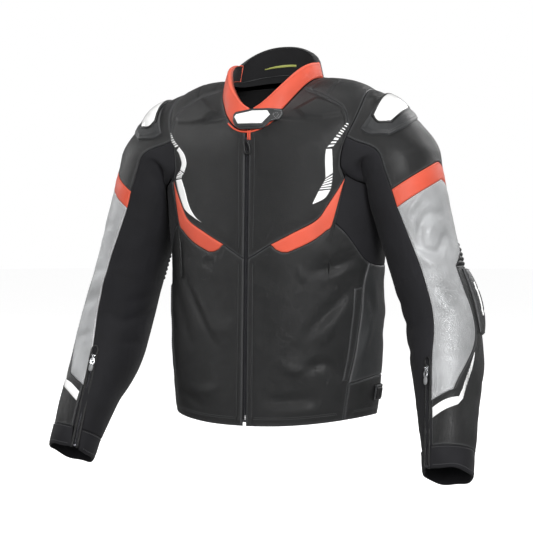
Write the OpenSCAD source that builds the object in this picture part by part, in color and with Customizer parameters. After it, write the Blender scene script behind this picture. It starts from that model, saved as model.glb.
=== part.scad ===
// Leather riding jacket: sewn panels, zips, armour and adjusters as separate solids.
// Frame: origin at the middle of the neck seam, +Z up, front faces -Y, wearer's left is +X.

/* [Leather] */
// Thickness of the leather shell
leather_t = 2.4; // [1.6:0.1:3]
// Gap left at each sewn seam between two panels
seam_gap = 1.0; // [0.6:0.1:1.6]
// Thickness of the padded collar
collar_t = 7; // [4:0.5:9]
// Depth from the shell's face to the lining
lining_depth = 15; // [14.5:0.5:18]

/* [Front zip] */
// Half width of the slot that the zip lies in
zip_slot = 5.4; // [5:0.1:7]
// Half width of the row of teeth
teeth_half = 2.2; // [1.8:0.1:2.6]
// Thickness of the row of teeth
teeth_t = 2.4; // [1.8:0.1:2.6]
// Height of the top end of the teeth
zip_top_z = -104; // [-112:1:-103]
// Height of the bottom end of the teeth
zip_bottom_z = -584; // [-586:1:-560]

/* [Sliders and pullers] */
// Width of the front zip's slider
slider_w = 9; // [7:0.5:9.5]
// Width of the cuff zip's slider
cuff_slider_w = 7; // [6:0.5:7.5]
// Length of a slider
slider_l = 12; // [10:0.5:13]
// Length of the front zip's puller from its hinge pin
puller_l = 24; // [18:1:28]
// Length of the cuff zip's puller from its hinge pin
cuff_puller_l = 26; // [18:1:30]
// Radius of the hinge pin in a slider's lug
pin_r = 0.7; // [0.5:0.05:0.8]
// Running clearance of a puller's eye on its pin
eye_gap = 0.25; // [0.2:0.05:0.3]

/* [Collar tab] */
// Left end of the collar tab, its free end
tab_x0 = -27; // [-30:1:-22]
// Right end of the collar tab, where it is sewn down
tab_x1 = 61; // [54:1:62]
// Lower edge of the collar tab
tab_z0 = -92; // [-92.5:0.5:-91]
// Height of the collar tab at its middle
tab_h = 35; // [28:1:36]
// Thickness of the collar tab
tab_t = 2.4; // [2:0.1:3]

/* [Armour] */
// Rise of the hard shoulder cup above its bezel
cup_dome = 6; // [3:0.5:8]
// Rise of the elbow protector's middle
elbow_dome = 8; // [4:0.5:10]
// Thickness of the back protector
back_pad_t = 7.5; // [6:0.5:8]

/* [Hidden] */
$fn = 32;

// Body rings from hem (0) to neck seam (9): half width, back depth, side z, front z, back z
RINGS = [
  [180, 102, -576, -590, -594],
  [190,  96, -500, -506, -508],
  [193,  92, -415, -422, -422],
  [194, 100, -330, -340, -332],
  [200, 112, -240, -262, -240],
  [206, 118, -160, -205, -162],
  [208, 116,  -88, -165,  -98],
  [198, 104,  -38, -140,  -42],
  [144,  76,   -8, -118,   -6],
  [ 84,  46,    0,  -94,   14]];
// Sleeve stations 1 to 9: centre, outward direction, radius outward, inward, forward, backward
SLEEVE = [
  [[212,   -6, -118], [0.80, 0.00, 0.60], 80, 62, 84, 86],
  [[236,  -10, -190], [0.95, 0.00, 0.30], 70, 64, 78, 82],
  [[260,  -14, -262], [0.96, 0.00, 0.27], 64, 60, 70, 74],
  [[286,  -16, -338], [0.97, 0.02, 0.22], 60, 60, 66, 72],
  [[306,  -18, -405], [0.97, 0.03, 0.20], 62, 60, 64, 74],
  [[321,  -30, -478], [0.97, 0.03, 0.18], 62, 60, 66, 70],
  [[335,  -66, -550], [0.97, 0.02, 0.18], 52, 50, 54, 56],
  [[347,  -96, -615], [0.97, 0.02, 0.18], 44, 44, 46, 48],
  [[355, -116, -672], [0.97, 0.02, 0.18], 39, 39, 41, 42]];
square_off = 0.92;        // power that squares off the round body rings a little
neck_z = -94;             // front of the neck seam
neck_y = 125;             // how far the neck seam stands forward
front_lean = 12/496;      // forward lean of the straight front edge, per mm of drop
arm_u = 92;               // armhole in body terms: middle angle
arm_front = 45.5;         // and reach to the front, to the back, top, bottom and middle ring
arm_back = 40;
arm_top = 7.45;
arm_low = 4.6;
arm_mid = 5.55;
merge_t = 1.5;            // where the sleeve head meets the round sleeve
head_reach = [70, 0, -12]; // way the sleeve head leaves the armhole
rim_side = 78;            // collar's top rim: half width, reach to the front and to the back
rim_front = 110;
rim_back = 34;
rim_z = 28;               // height at its sides, drop to the front, rise to the back
rim_drop = 82;
rim_rise = 33;
pad_room = 2.3;           // room between the lining and the back protector
side_gap = 3.5;           // room between the body's side and a sleeve that lies on it
leather = "#2b2c2e";
stretch = "#17181d";
red = "#ec5a45";
silver = "#a9acae";
white = "#f2f2ef";
dark_metal = "#3c3d40";

// ---- surfaces ----
function unit(v) = v/norm(v);
function pow_keep(x, p) = sign(x)*pow(abs(x), p);
function front_y(z) = neck_y+front_lean*(neck_z-z);
function cr(a, b, c, d, k) =
  0.5*(2*b+(c-a)*k+(2*a-5*b+4*c-d)*k*k+(3*b-a-3*c+d)*k*k*k);
function spline(rows, t) =
  let (n = len(rows), i = max(0, min(floor(t), n-2)), b = rows[i], c = rows[i+1],
       a = i > 0 ? rows[i-1] : 2*b-c, d = i < n-2 ? rows[i+2] : 2*c-b)
  cr(a, b, c, d, t-i);
BODY = [for (r = RINGS) [r[0], front_y(r[3]), r[1], r[2], r[3], r[4]]];
// Point on the body at angle u (0 front, 90 wearer's left, 180 back) and ring v
function torso(u, v) =
  let (r = spline(BODY, v), s = sin(u), c = cos(u))
  [r[0]*pow_keep(s, square_off), -(c > 0 ? r[1] : r[2])*pow_keep(c, square_off),
   r[3]+((c > 0 ? r[4] : r[5])-r[3])*c*c];
// Body terms of the armhole seam at angle th (0 top, 90 front, 180 bottom, 270 back)
function arm_uv(th) =
  [arm_u-(sin(th) > 0 ? arm_front : arm_back)*sin(th),
   arm_mid+(cos(th) > 0 ? arm_top-arm_mid : arm_mid-arm_low)*cos(th)];
function armhole(th) = let (p = arm_uv(th)) torso(p[0], p[1]);
function tube(t, th) =
  let (r = spline(SLEEVE, t-1), d = unit(spline(SLEEVE, t-0.98)[0]-spline(SLEEVE, t-1.02)[0]),
       o = unit(r[1]-(r[1]*d)*d), f = cross(d, o), c = cos(th), s = sin(th))
  r[0]+o*(c > 0 ? r[2] : r[3])*c+f*(s > 0 ? r[4] : r[5])*s;
// How far out the body's side stands at a point's depth and height
function side_x(p) =
  let (depth = p[1] < 0 ? front_y(p[2]) : lookup(p[2], [for (r = RINGS) [r[2], r[1]]]))
  lookup(p[2], [for (r = RINGS) [r[2], r[0]]])
  *pow(max(1-pow(min(abs(p[1])/depth, 1), 2/square_off), 0), square_off/2);
// Sleeve point laid against the body's side where it would pass through it
function laid(t, p) =
  let (room = side_x(p)+side_gap, d = p[0]-room, soft = (d+sqrt(d*d+4*side_gap*side_gap))/2)
  [p[0]+min(t/0.25, 1)*(room+soft-p[0]), p[1], p[2]];
function sleeve(t, th) = laid(t, free_sleeve(t, th));
// Point on the sleeve at station t (0 armhole, 9 cuff), angle th (0 outer, 90 front, 180 inner)
function free_sleeve(t, th) = t >= merge_t ? tube(t, th) :
  let (a = armhole(th), e = tube(merge_t, th), de = (tube(merge_t+0.05, th)-e)/0.05*merge_t,
       da = head_reach, k = t/merge_t)
  (2*k*k*k-3*k*k+1)*a+(k*k*k-2*k*k+k)*da+(3*k*k-2*k*k*k)*e+(k*k*k-k*k)*de;
// Point on the collar at angle u and height w (0 seam, 1 top edge)
function collar(u, w) =
  let (s = sin(u), c = cos(u), top = [rim_side*pow_keep(s, square_off),
       -(c > 0 ? rim_front : rim_back)*pow_keep(c, square_off),
       rim_z+(c > 0 ? -rim_drop*(1-pow(abs(s), 1.35)) : rim_rise*pow(-c, 1.5))])
  torso(u, 9)*(1-w)+top*w;
function surface_point(kind, p) =
  kind == "torso" ? torso(p[0], p[1]) : kind == "sleeve" ? sleeve(p[0], p[1]) : collar(p[0], p[1]);

// ---- panels ----
// Point at share k along a line of points
function along(line, k) =
  let (x = min(max(k, 0), 1)*(len(line)-1), i = min(floor(x), len(line)-2))
  line[i]*(1-(x-i))+line[i+1]*(x-i);
// Point inside four edges: first and last run across, low and high join their ends
function inside(first, last, low, high, s, t) =
  (1-t)*along(first, s)+t*along(last, s)+(1-s)*along(low, t)+s*along(high, t)
  -(1-s)*(1-t)*first[0]-s*(1-t)*first[len(first)-1]-(1-s)*t*last[0]-s*t*last[len(last)-1];
function pulled_in(p, q, d) = norm(q-p) > 0 ? p+unit(q-p)*d : p;
function faces_of(n, m) =
  let (w = n+1, half = w*(m+1), o = function (i, j) j*w+i,
       q = function (a, b, c, d) [[a, b, c], [a, c, d]])
  [for (j = [0:m-1]) for (i = [0:n-1]) each q(o(i, j), o(i, j+1), o(i+1, j+1), o(i+1, j)),
   for (j = [0:m-1]) for (i = [0:n-1])
     each q(half+o(i, j), half+o(i+1, j), half+o(i+1, j+1), half+o(i, j+1)),
   for (i = [0:n-1]) each q(o(i, 0), o(i+1, 0), half+o(i+1, 0), half+o(i, 0)),
   for (i = [0:n-1]) each q(o(i+1, m), o(i, m), half+o(i, m), half+o(i+1, m)),
   for (j = [0:m-1]) each q(o(0, j+1), o(0, j), half+o(0, j), half+o(0, j+1)),
   for (j = [0:m-1]) each q(o(n, j), o(n, j+1), half+o(n, j+1), half+o(n, j))];
// A closed panel between four edges on a surface, from height outer to height inner above it
module panel(kind, n, m, first, last, low, high, outer = 0, inner = -leather_t,
             dome = 0, ridges = 0, gap = seam_gap/2) {
  raw = [for (j = [0:m]) [for (i = [0:n])
    surface_point(kind, inside(first, last, low, high, i/n, j/m))]];
  rows = [for (j = [0:m]) [for (i = [0:n])
    let (a = i == 0 ? pulled_in(raw[j][0], raw[j][1], gap) :
             i == n ? pulled_in(raw[j][n], raw[j][n-1], gap) : raw[j][i],
         q = j == 0 ? raw[1][i]-raw[0][i] : j == m ? raw[m-1][i]-raw[m][i] : [0, 0, 0])
    norm(q) > 0 ? a+unit(q)*gap : a]];
  normals = [for (j = [0:m]) [for (i = [0:n])
    unit(cross(raw[j][min(i+1, n)]-raw[j][max(i-1, 0)], raw[min(j+1, m)][i]-raw[max(j-1, 0)][i]))]];
  rise = function (i, j) outer+dome*pow(sin(180*i/n)*sin(180*j/m), 0.6)
    +(ridges > 0 ? 1.5*(1-cos(360*ridges*j/m))/2 : 0);
  polyhedron([for (j = [0:m]) for (i = [0:n]) rows[j][i]+normals[j][i]*rise(i, j),
              for (j = [0:m]) for (i = [0:n]) rows[j][i]+normals[j][i]*inner], faces_of(n, m));
}
module both_sides() {
  children();
  mirror([1, 0, 0]) children();
}
module side(left) {
  if (left) children();
  else mirror([1, 0, 0]) children();
}

// ---- seam lines in body terms ----
function u_at(x, v) = asin(pow(x/spline(BODY, v)[0], 1/square_off));
function zip_edge(x, v0, v1, n) = [for (i = [0:n]) let (v = v0+(v1-v0)*i/n) [u_at(x, v), v]];
CHEVRON_TOP = [[11.5, 3.68], [23, 3.92], [35, 4.16], [41, 4.50], [50, 5.08]];
CHEVRON_LOW = [[13, 3.60], [20, 3.50], [32, 3.68], [40, 3.87], [44.6, 4.06], [50, 5.02]];
ARM_FRONT = [for (th = [104:-8:64]) arm_uv(th)];
ARM_OVER = [for (th = [64:-15:-71]) arm_uv(th)];
ARM_UNDER = [for (th = [104:12:272]) arm_uv(th)];
ARM_REAR = [for (th = [272:9:290]) arm_uv(th)];
YOKE_SEAM = [[54, 6.85], [57, 7.4], [58.6, 7.9], [61, 8.45], [63, 9]];
GUSSET_LOW = [[44.8, 4.05], [54, 3.75], [64, 3.40], [74, 3.18], [92, 3.10], [110, 3.16],
  [118, 3.26], [127, 3.64], [136, 4.0]];
SIDE_SEAM = [[59.6, 0.80], [64.3, 1.54], [67.1, 2.15], [69.5, 2.78], [74, 3.18]];
side_back_u = 118;
band_v = [4.0, 4.6];

module chest_panel(left) color(leather) side(left)
  panel("torso", 12, 12,
    concat([[u_at(zip_slot, 3.4), 3.4]], CHEVRON_TOP),
    [for (i = [0:6]) [u_at(zip_slot, 9)+(63-u_at(zip_slot, 9))*i/6, 9]],
    zip_edge(zip_slot, 3.4, 9, 8), concat([[50, 5.08]], ARM_FRONT, YOKE_SEAM));
module front_panel(left) color(leather) side(left)
  panel("torso", 12, 9,
    [for (i = [0:6]) [u_at(zip_slot, 0)+(58.6-u_at(zip_slot, 0))*i/6, 0]],
    concat([[u_at(zip_slot, 3.36), 3.36], [12.5, 3.62]], [for (i = [1:4]) CHEVRON_LOW[i]],
      [for (i = [1:3]) GUSSET_LOW[i]]),
    zip_edge(zip_slot, 0, 3.36, 6), concat([[58.6, 0]], SIDE_SEAM));
module side_panel(left) color("#4b4d50") side(left)
  panel("torso", 8, 7, [[59.6, 0.80], [74, 0.88], [89, 0.92], [side_back_u, 0.92]],
    [for (i = [3:6]) GUSSET_LOW[i]], SIDE_SEAM, [[side_back_u, 0.92], [side_back_u, 3.26]]);
module hem_side_panels() color(leather) both_sides()
  panel("torso", 8, 3, [[58.6, 0], [side_back_u, 0]],
    [[59.5, 0.78], [74, 0.86], [89, 0.90], [side_back_u, 0.90]],
    [[58.6, 0], [59.5, 0.78]], [[side_back_u, 0], [side_back_u, 0.90]]);
module underarm_gussets() color(stretch) both_sides()
  panel("torso", 14, 4, GUSSET_LOW, ARM_UNDER,
    [[44.8, 4.05], [50.2, 5.04], ARM_UNDER[0]], [[136, 4.0], [136, 4.6], ARM_UNDER[14]]);
module shoulder_yokes() color(leather) both_sides()
  panel("torso", 10, 7, ARM_OVER, [[63, 9], [96, 9], [128, 9]],
    concat([arm_uv(64)], YOKE_SEAM), [arm_uv(-71), [130, 7.5], [128, 9]]);
BACK_SIDE = concat([[136, band_v[1]]], ARM_REAR, [[130, 7.5], [128, 9]]);
function other_side(line) = [for (p = line) [360-p[0], p[1]]];
module back_panel_upper() color(leather)
  panel("torso", 16, 8, [[136, band_v[1]], [224, band_v[1]]], [[128, 9], [232, 9]],
    BACK_SIDE, other_side(BACK_SIDE));
module back_stretch_band() color(stretch)
  panel("torso", 14, 6, [[136, band_v[0]], [224, band_v[0]]], [[136, band_v[1]], [224, band_v[1]]],
    [[136, band_v[0]], [136, band_v[1]]], [[224, band_v[0]], [224, band_v[1]]], ridges = 3);
BACK_LOW_SIDE = [[side_back_u, 0], [side_back_u, 1.1], [side_back_u, 2.2], [side_back_u, 3.26],
  [136, band_v[0]]];
module back_panel_lower() color(leather)
  panel("torso", 16, 9, [[side_back_u, 0], [360-side_back_u, 0]],
    [[136, band_v[0]], [224, band_v[0]]], BACK_LOW_SIDE, other_side(BACK_LOW_SIDE));
module red_chevrons() color(red) both_sides()
  panel("torso", 12, 2, CHEVRON_LOW, CHEVRON_TOP,
    [[13, 3.60], [11.5, 3.68]], [[50, 5.02], [50, 5.08]]);
module chest_stripes() color(white) both_sides()
  panel("torso", 3, 9, [[33, 4.6], [38.5, 4.6]], [[51, 6.62], [54, 6.84]],
    [[33, 4.6], [36.5, 5.35], [38, 5.9], [39.5, 6.35], [51, 6.62]],
    [[38.5, 4.6], [42, 5.36], [43, 5.85], [46, 6.35], [54, 6.84]],
    outer = 1.8, inner = 0.4, gap = 0);
module pocket_welts() color(leather) both_sides()
  panel("torso", 2, 6, [[54.3, 0.88], [58.6, 0.88]], [[61, 2.70], [68.2, 2.72]],
    [[54.3, 0.88], [57.4, 1.54], [59.4, 2.14], [61, 2.70]],
    [[58.6, 0.88], [63.2, 1.56], [65.9, 2.14], [68.2, 2.72]], outer = 2.0, inner = 0.4);
module pocket_bags() color("#101114") both_sides()
  panel("torso", 4, 4, [[26, 0.5], [56, 0.6]], [[30, 2.4], [60, 2.6]],
    [[26, 0.5], [30, 2.4]], [[56, 0.6], [60, 2.6]], outer = -4.5, inner = -6.5);
module storm_flap() color(leather)
  panel("torso", 4, 8, [[-7, 0.2], [7, 0.2]], [[-10, 8.2], [10, 8.2]],
    [[-7, 0.2], [-7, 4], [-10, 8.2]], [[7, 0.2], [7, 4], [10, 8.2]], outer = -5.2, inner = -6.6);
module main_zip_tapes() color(stretch) both_sides()
  panel("torso", 1, 10, [[u_at(1.2, 0.1), 0.1], [u_at(14, 0.1), 0.1]],
    [[u_at(1.2, 8.5), 8.5], [u_at(14, 8.5), 8.5]],
    zip_edge(1.2, 0.1, 8.5, 8), zip_edge(14, 0.1, 8.5, 8), outer = -3.4, inner = -4.2, gap = 0);
module torso_lining() color("#0c0d10")
  panel("torso", 26, 14, [[6, 0.3], [354, 0.3]], [[12, 8.4], [348, 8.4]],
    [[6, 0.3], [12, 8.4]], [[354, 0.3], [348, 8.4]],
    outer = -lining_depth, inner = -lining_depth-1);
module back_protector() color("#24262c")
  panel("torso", 8, 12, [[152, 1.4], [208, 1.4]], [[152, 7], [208, 7]],
    [[152, 1.4], [144, 4.6], [152, 7]], [[208, 1.4], [216, 4.6], [208, 7]],
    outer = back_pad_t+pad_room-lining_depth, inner = pad_room-lining_depth);
module connection_zip() color(dark_metal)
  panel("torso", 12, 1, [[128, 0.36], [232, 0.36]], [[128, 0.56], [232, 0.56]],
    [[128, 0.36], [128, 0.56]], [[232, 0.36], [232, 0.56]],
    outer = -lining_depth-3.4, inner = -lining_depth-5.4);
module shoulder_armour() color("#2a2f3a") both_sides()
  panel("sleeve", 8, 4, [[0.16, -50], [0.16, 48]], [[0.66, -50], [0.66, 48]],
    [[0.16, -50], [0.66, -50]], [[0.16, 48], [0.66, 48]], outer = -7, inner = -12.5);
module waist_tab(left) color(leather) side(left)
  panel("torso", 5, 2, [[86, 0.34], [112, 0.34]], [[86, 0.70], [112, 0.70]],
    [[86, 0.34], [86, 0.70]], [[112, 0.34], [112, 0.70]], outer = 3.6, inner = 1.0);

// ---- collar ----
collar_join_u = 98;
module collar_back() color(leather)
  let (a = collar_join_u+0.8, b = 360-a)
    panel("collar", 18, 3, [[a, 0.02], [b, 0.02]], [[a, 1], [b, 1]],
      [[a, 0.02], [a, 1]], [[b, 0.02], [b, 1]], inner = -collar_t);
module collar_fronts() color(red) both_sides()
  panel("collar", 12, 3, [[2, 0.02], [collar_join_u, 0.02]], [[2, 1], [collar_join_u, 1]],
    [[2, 0.02], [2, 1]], [[collar_join_u, 0.02], [collar_join_u, 1]], inner = -collar_t);
module collar_piping() color(red)
  panel("torso", 12, 1, [[-24, 8.86], [30, 8.86]], [[-24, 8.97], [30, 8.97]],
    [[-24, 8.86], [-24, 8.97]], [[30, 8.86], [30, 8.97]], outer = 2.2, inner = 0.3, gap = 0);
module hanger_loop() color("#b6b94a")
  panel("collar", 5, 1, [[158, 0.3], [202, 0.3]], [[158, 0.44], [202, 0.44]],
    [[158, 0.3], [158, 0.44]], [[202, 0.3], [202, 0.44]],
    outer = -collar_t-0.6, inner = -collar_t-1.8, gap = 0);
// The tab bows round the neck and leans back as the collar does
tab_front = 128;
tab_bow = 0.0028;
tab_lean = 0.2;
function tab_point(x, z) = [x, -tab_front+tab_bow*x*x+tab_lean*(z-tab_z0), z];
function tab_low(x) = tab_z0+0.0034*max(x-18, 0)*max(x-18, 0);
function tab_height(x) = x < -14 ? tab_h-0.6*(-14-x) : x > 30 ? tab_h-0.28*(x-30) : tab_h;
module collar_tab() color(leather) {
  n = 12;
  xs = [for (i = [0:n]) tab_x0+(tab_x1-tab_x0)*i/n];
  face = function (d) [for (k = [0:2]) for (x = xs)
    tab_point(x, tab_low(x)+tab_height(x)*k/2)-[0, d, 0]];
  polyhedron(concat(face(tab_t), face(0)), faces_of(n, 2));
}

// ---- zips ----
// Frame on a zip line: +Z towards its top end, -Y outward
module on_zip(top, bottom, outward, shift = 0, drop = 0) {
  z = unit(top-bottom);
  y = -unit(outward-(outward*z)*z);
  x = cross(y, z);
  p = top-z*drop-y*shift;
  multmatrix([[x[0], y[0], z[0], p[0]], [x[1], y[1], z[1], p[1]], [x[2], y[2], z[2], p[2]],
              [0, 0, 0, 1]]) children();
}
main_top = [0, -front_y(zip_top_z), zip_top_z];
main_bottom = [0, -front_y(zip_bottom_z), zip_bottom_z];
cuff_top = sleeve(6.4, 100);
cuff_bottom = sleeve(8.6, 124);
cuff_out = unit(cross(sleeve(7.5, 118)-sleeve(7.5, 106), sleeve(7.9, 112)-sleeve(7.1, 112)));
chain_sink = 1.7;         // how far the front zip's teeth lie behind the leather's face
module on_main(drop = 0) on_zip(main_top, main_bottom, [0, -1, 0], -chain_sink, drop) children();
module on_cuff(drop = 0) on_zip(cuff_top, cuff_bottom, cuff_out, 0.4, drop) children();
module chain(length, half, stop_w) {
  translate([-half, -teeth_t/2, -length]) cube([2*half, teeth_t, length]);
  translate([-stop_w/2, -teeth_t/2, -length-6]) cube([stop_w, teeth_t, 5.6]);
}
lug_y = -5.5;             // hinge pin's place in a slider's frame
lug_z = 3;
plate_y = -3.1;           // face of the slider's plate
lug_wall = 0.8;           // thickness of each of the two lugs that hold the pin
lug_top = 1.4;            // how far the lugs reach past the pin
pin_l = 4;
grip_r = 3.5;             // half width of the puller's grip
grip_t = 1.8;
module zip_slider(width) {
  translate([-width/2, plate_y, -slider_l/2]) cube([width, 1.5, slider_l]);
  for (x = [-2.3, 1.5]) translate([x, lug_y-lug_top, lug_z-2.6])
    cube([lug_wall, plate_y-lug_y+lug_top+0.1, 5]);
  translate([-pin_l/2, lug_y, lug_z]) rotate([0, 90, 0]) cylinder(r = pin_r, h = pin_l);
}
module puller_plate(length) {
  translate([-grip_r, lug_y-grip_t/2, lug_z-length+grip_r])
    cube([2*grip_r, grip_t, length-13]);
  translate([0, lug_y-grip_t/2, lug_z-length+grip_r]) rotate([-90, 0, 0])
    cylinder(r = grip_r, h = grip_t);
}
module zip_puller(length) difference() {
  union() {
    translate([-1.3, lug_y, lug_z]) rotate([0, 90, 0]) cylinder(r = 2, h = 2.6);
    translate([-1.3, lug_y-0.8, lug_z-10]) cube([2.6, 1.6, 9]);
    puller_plate(length);
  }
  translate([-pin_l/2, lug_y, lug_z]) rotate([0, 90, 0]) cylinder(r = pin_r+eye_gap, h = pin_l);
  translate([0, lug_y-2, lug_z-length+4]) rotate([-90, 0, 0]) cylinder(r = 1.5, h = 4);
}
rest_drop = 7;            // where a closed slider sits below the top of its teeth
module main_zip_chain() color(dark_metal) on_main()
  chain(norm(main_top-main_bottom)-6, teeth_half, 2*zip_slot-3);
module main_zip_slider() color(dark_metal) on_main(rest_drop) zip_slider(slider_w);
module main_zip_puller() color(dark_metal) on_main(rest_drop) zip_puller(puller_l);
module cuff_zip(left) color(dark_metal) side(left) {
  on_cuff() chain(norm(cuff_top-cuff_bottom)-6, teeth_half-0.4, 5);
  panel("sleeve", 2, 6, [[6.3, 90], [6.3, 108]], [[8.6, 112], [8.6, 136]],
    [[6.3, 90], [8.6, 112]], [[6.3, 108], [8.6, 136]], outer = -4.6, inner = -5.3, gap = 0);
}
module cuff_slider(left) color(silver) side(left) on_cuff(rest_drop) zip_slider(cuff_slider_w);
module cuff_puller(left) color(silver) side(left) on_cuff(rest_drop) zip_puller(cuff_puller_l);

// ---- sleeves ----
rear_th = -145;
function band_t(th, shift = 0) = 1.7+shift+0.00525*abs(th);
function band_line(t0, angles) = [for (th = angles) [band_t(th, t0), th]];
BAND_ANGLES = [-145, -127, -109, -91, -73, -54, -36, -18, 0, 21, 42, 63, 84];
SILVER_ANGLES = [-40, -27, -13, 0, 12, 24, 36, 48, 60, 71, 82];
REAR_ANGLES = [-145, -120, -94, -68, -42];
FRONT_SEAM = [[0, 66], [0.7, 74], [1.4, 84], [2.14, 84]];
LOWER_SEAM = [[2.53, 82], [4, 79], [5, 82], [6, 91], [7.06, 99]];
SILVER_SIDE = [[2.31, -40], [3.35, -34], [3.92, 18], [4.6, 18], [5.4, 12], [6.2, 33], [6.88, 57]];
FOREARM_EDGE = [[4, 15], [4.6, 15], [5.4, 9], [6.2, 29.5], [6.95, 54], [7.17, 97], [7.6, 103],
  [8.08, 107]];
module sleeve_cap(left) color(leather) side(left)
  panel("sleeve", 12, 5, [for (i = [0:8]) [0.03, rear_th+(66-rear_th)*i/8]],
    band_line(0, BAND_ANGLES), [[0.03, rear_th], [band_t(rear_th), rear_th]], FRONT_SEAM);
module stretch_upper(left) color(stretch) side(left)
  panel("sleeve", 10, 14, [[0.02, 67.4], [0.02, 214]], [[5.02, 84], [5.02, 214]],
    [[0.02, 67.4], [0.7, 75.4], [1.4, 85.4], [2.1, 85.4], [2.8, 83.4], [4, 81], [5.02, 84]],
    [[0.02, 214], [2.5, 214], [5.02, 214]]);
module red_band(left) color(red) side(left)
  panel("sleeve", 12, 2, band_line(0, BAND_ANGLES), band_line(0.4, BAND_ANGLES),
    [[band_t(rear_th), rear_th], [band_t(rear_th, 0.4), rear_th]], [[2.14, 84], [2.54, 84]]);
module silver_panel(left) color(silver) side(left)
  panel("sleeve", 10, 12, band_line(0.43, SILVER_ANGLES), [[6.88, 57], [7.06, 99]],
    SILVER_SIDE, LOWER_SEAM);
module rear_sleeve(left) color(leather) side(left) {
  panel("sleeve", 6, 3, band_line(0.43, REAR_ANGLES), [[3.36, rear_th], [3.36, -37]],
    [[band_t(rear_th, 0.43), rear_th], [3.36, rear_th]], [[2.35, -42], [3.36, -37]]);
  panel("sleeve", 8, 6, [[3.38, rear_th], [3.38, -37]], [[3.97, rear_th], [3.97, 14]],
    [[3.38, rear_th], [3.97, rear_th]], [[3.38, -37], [3.92, 12], [3.97, 14]], ridges = 3);
}
module forearm_leather(left) color(leather) side(left)
  panel("sleeve", 10, 10, [[4, rear_th], [4, 17]], [[8.08, rear_th], [8.08, 107]],
    [[4, rear_th], [8.08, rear_th]], FOREARM_EDGE);
module elbow_protector(left) color(leather) side(left)
  panel("sleeve", 6, 6, [[4.05, -72], [4.05, 2]], [[5.5, -66], [5.5, -2]],
    [[4.05, -72], [5.5, -66]], [[4.05, 2], [5.5, -2]], outer = 3, inner = 0.5, dome = elbow_dome);
module elbow_armour(left) color("#2a2f3a") side(left)
  panel("sleeve", 7, 6, [[4.3, -92], [4.3, 2]], [[6.0, -88], [6.0, -4]],
    [[4.3, -92], [6.0, -88]], [[4.3, 2], [6.0, -4]], outer = -5.6, inner = -11.6);
module stretch_lower(left) color(stretch) side(left)
  panel("sleeve", 7, 8, [[5.06, 85], [5.06, 215]], [[8.08, 126], [8.08, 215]],
    [[5.06, 85], [5.7, 91], [6.3, 103], [7.2, 115], [8.08, 126]], [[5.06, 215], [8.08, 215]]);
// The cuff's rim sits a little higher at the front than at the back
function cuff_rim(th) = [8.73-0.11*cos(th-90), th];
module cuff_band(left) color(stretch) side(left)
  panel("sleeve", 18, 2, [[8.1, 127], [8.1, 468]], [for (i = [0:18]) cuff_rim(137+341*i/18)],
    [[8.1, 127], cuff_rim(137)], [[8.1, 468], cuff_rim(478)], outer = 0.3);
module shoulder_slider(left) side(left) {
  color("#3a3b3e") panel("sleeve", 6, 3,
    [[0.3, -26], [0.3, 58]], [[0.84, -22], [0.94, 20], [0.94, 56]],
    [[0.3, -26], [0.84, -22]], [[0.3, 58], [0.94, 56]], outer = 3, inner = 1);
  color(white) panel("sleeve", 6, 4,
    [[0.36, -14], [0.36, 44]], [[0.68, -12], [0.76, 16], [0.78, 40]],
    [[0.36, -14], [0.68, -12]], [[0.36, 44], [0.78, 40]],
    outer = 5.5, inner = 3.6, dome = cup_dome);
}

chest_panel(true);  // chest_panel_l
chest_panel(false);  // chest_panel_r
front_panel(true);  // front_panel_l
front_panel(false);  // front_panel_r
side_panel(true);  // side_panel_l
side_panel(false);  // side_panel_r
hem_side_panels();
underarm_gussets();
shoulder_yokes();
back_panel_upper();
back_stretch_band();
back_panel_lower();
red_chevrons();
chest_stripes();
collar_back();
collar_fronts();
collar_piping();
storm_flap();
main_zip_tapes();
main_zip_chain();
main_zip_slider();
main_zip_puller();
collar_tab();
pocket_welts();
pocket_bags();
waist_tab(true);  // waist_tab_l
waist_tab(false);  // waist_tab_r
torso_lining();
back_protector();
shoulder_armour();
hanger_loop();
connection_zip();
sleeve_cap(true);  // sleeve_cap_l
sleeve_cap(false);  // sleeve_cap_r
stretch_upper(true);  // stretch_upper_l
stretch_upper(false);  // stretch_upper_r
red_band(true);  // red_band_l
red_band(false);  // red_band_r
silver_panel(true);  // silver_panel_l
silver_panel(false);  // silver_panel_r
rear_sleeve(true);  // rear_sleeve_l
rear_sleeve(false);  // rear_sleeve_r
elbow_protector(true);  // elbow_protector_l
elbow_protector(false);  // elbow_protector_r
elbow_armour(true);  // elbow_armour_l
elbow_armour(false);  // elbow_armour_r
forearm_leather(true);  // forearm_leather_l
forearm_leather(false);  // forearm_leather_r
stretch_lower(true);  // stretch_lower_l
stretch_lower(false);  // stretch_lower_r
cuff_band(true);  // cuff_band_l
cuff_band(false);  // cuff_band_r
cuff_zip(true);  // cuff_zip_l
cuff_zip(false);  // cuff_zip_r
cuff_slider(true);  // cuff_slider_l
cuff_slider(false);  // cuff_slider_r
cuff_puller(true);  // cuff_puller_l
cuff_puller(false);  // cuff_puller_r
shoulder_slider(true);  // shoulder_slider_l
shoulder_slider(false);  // shoulder_slider_r
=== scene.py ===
import math

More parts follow.
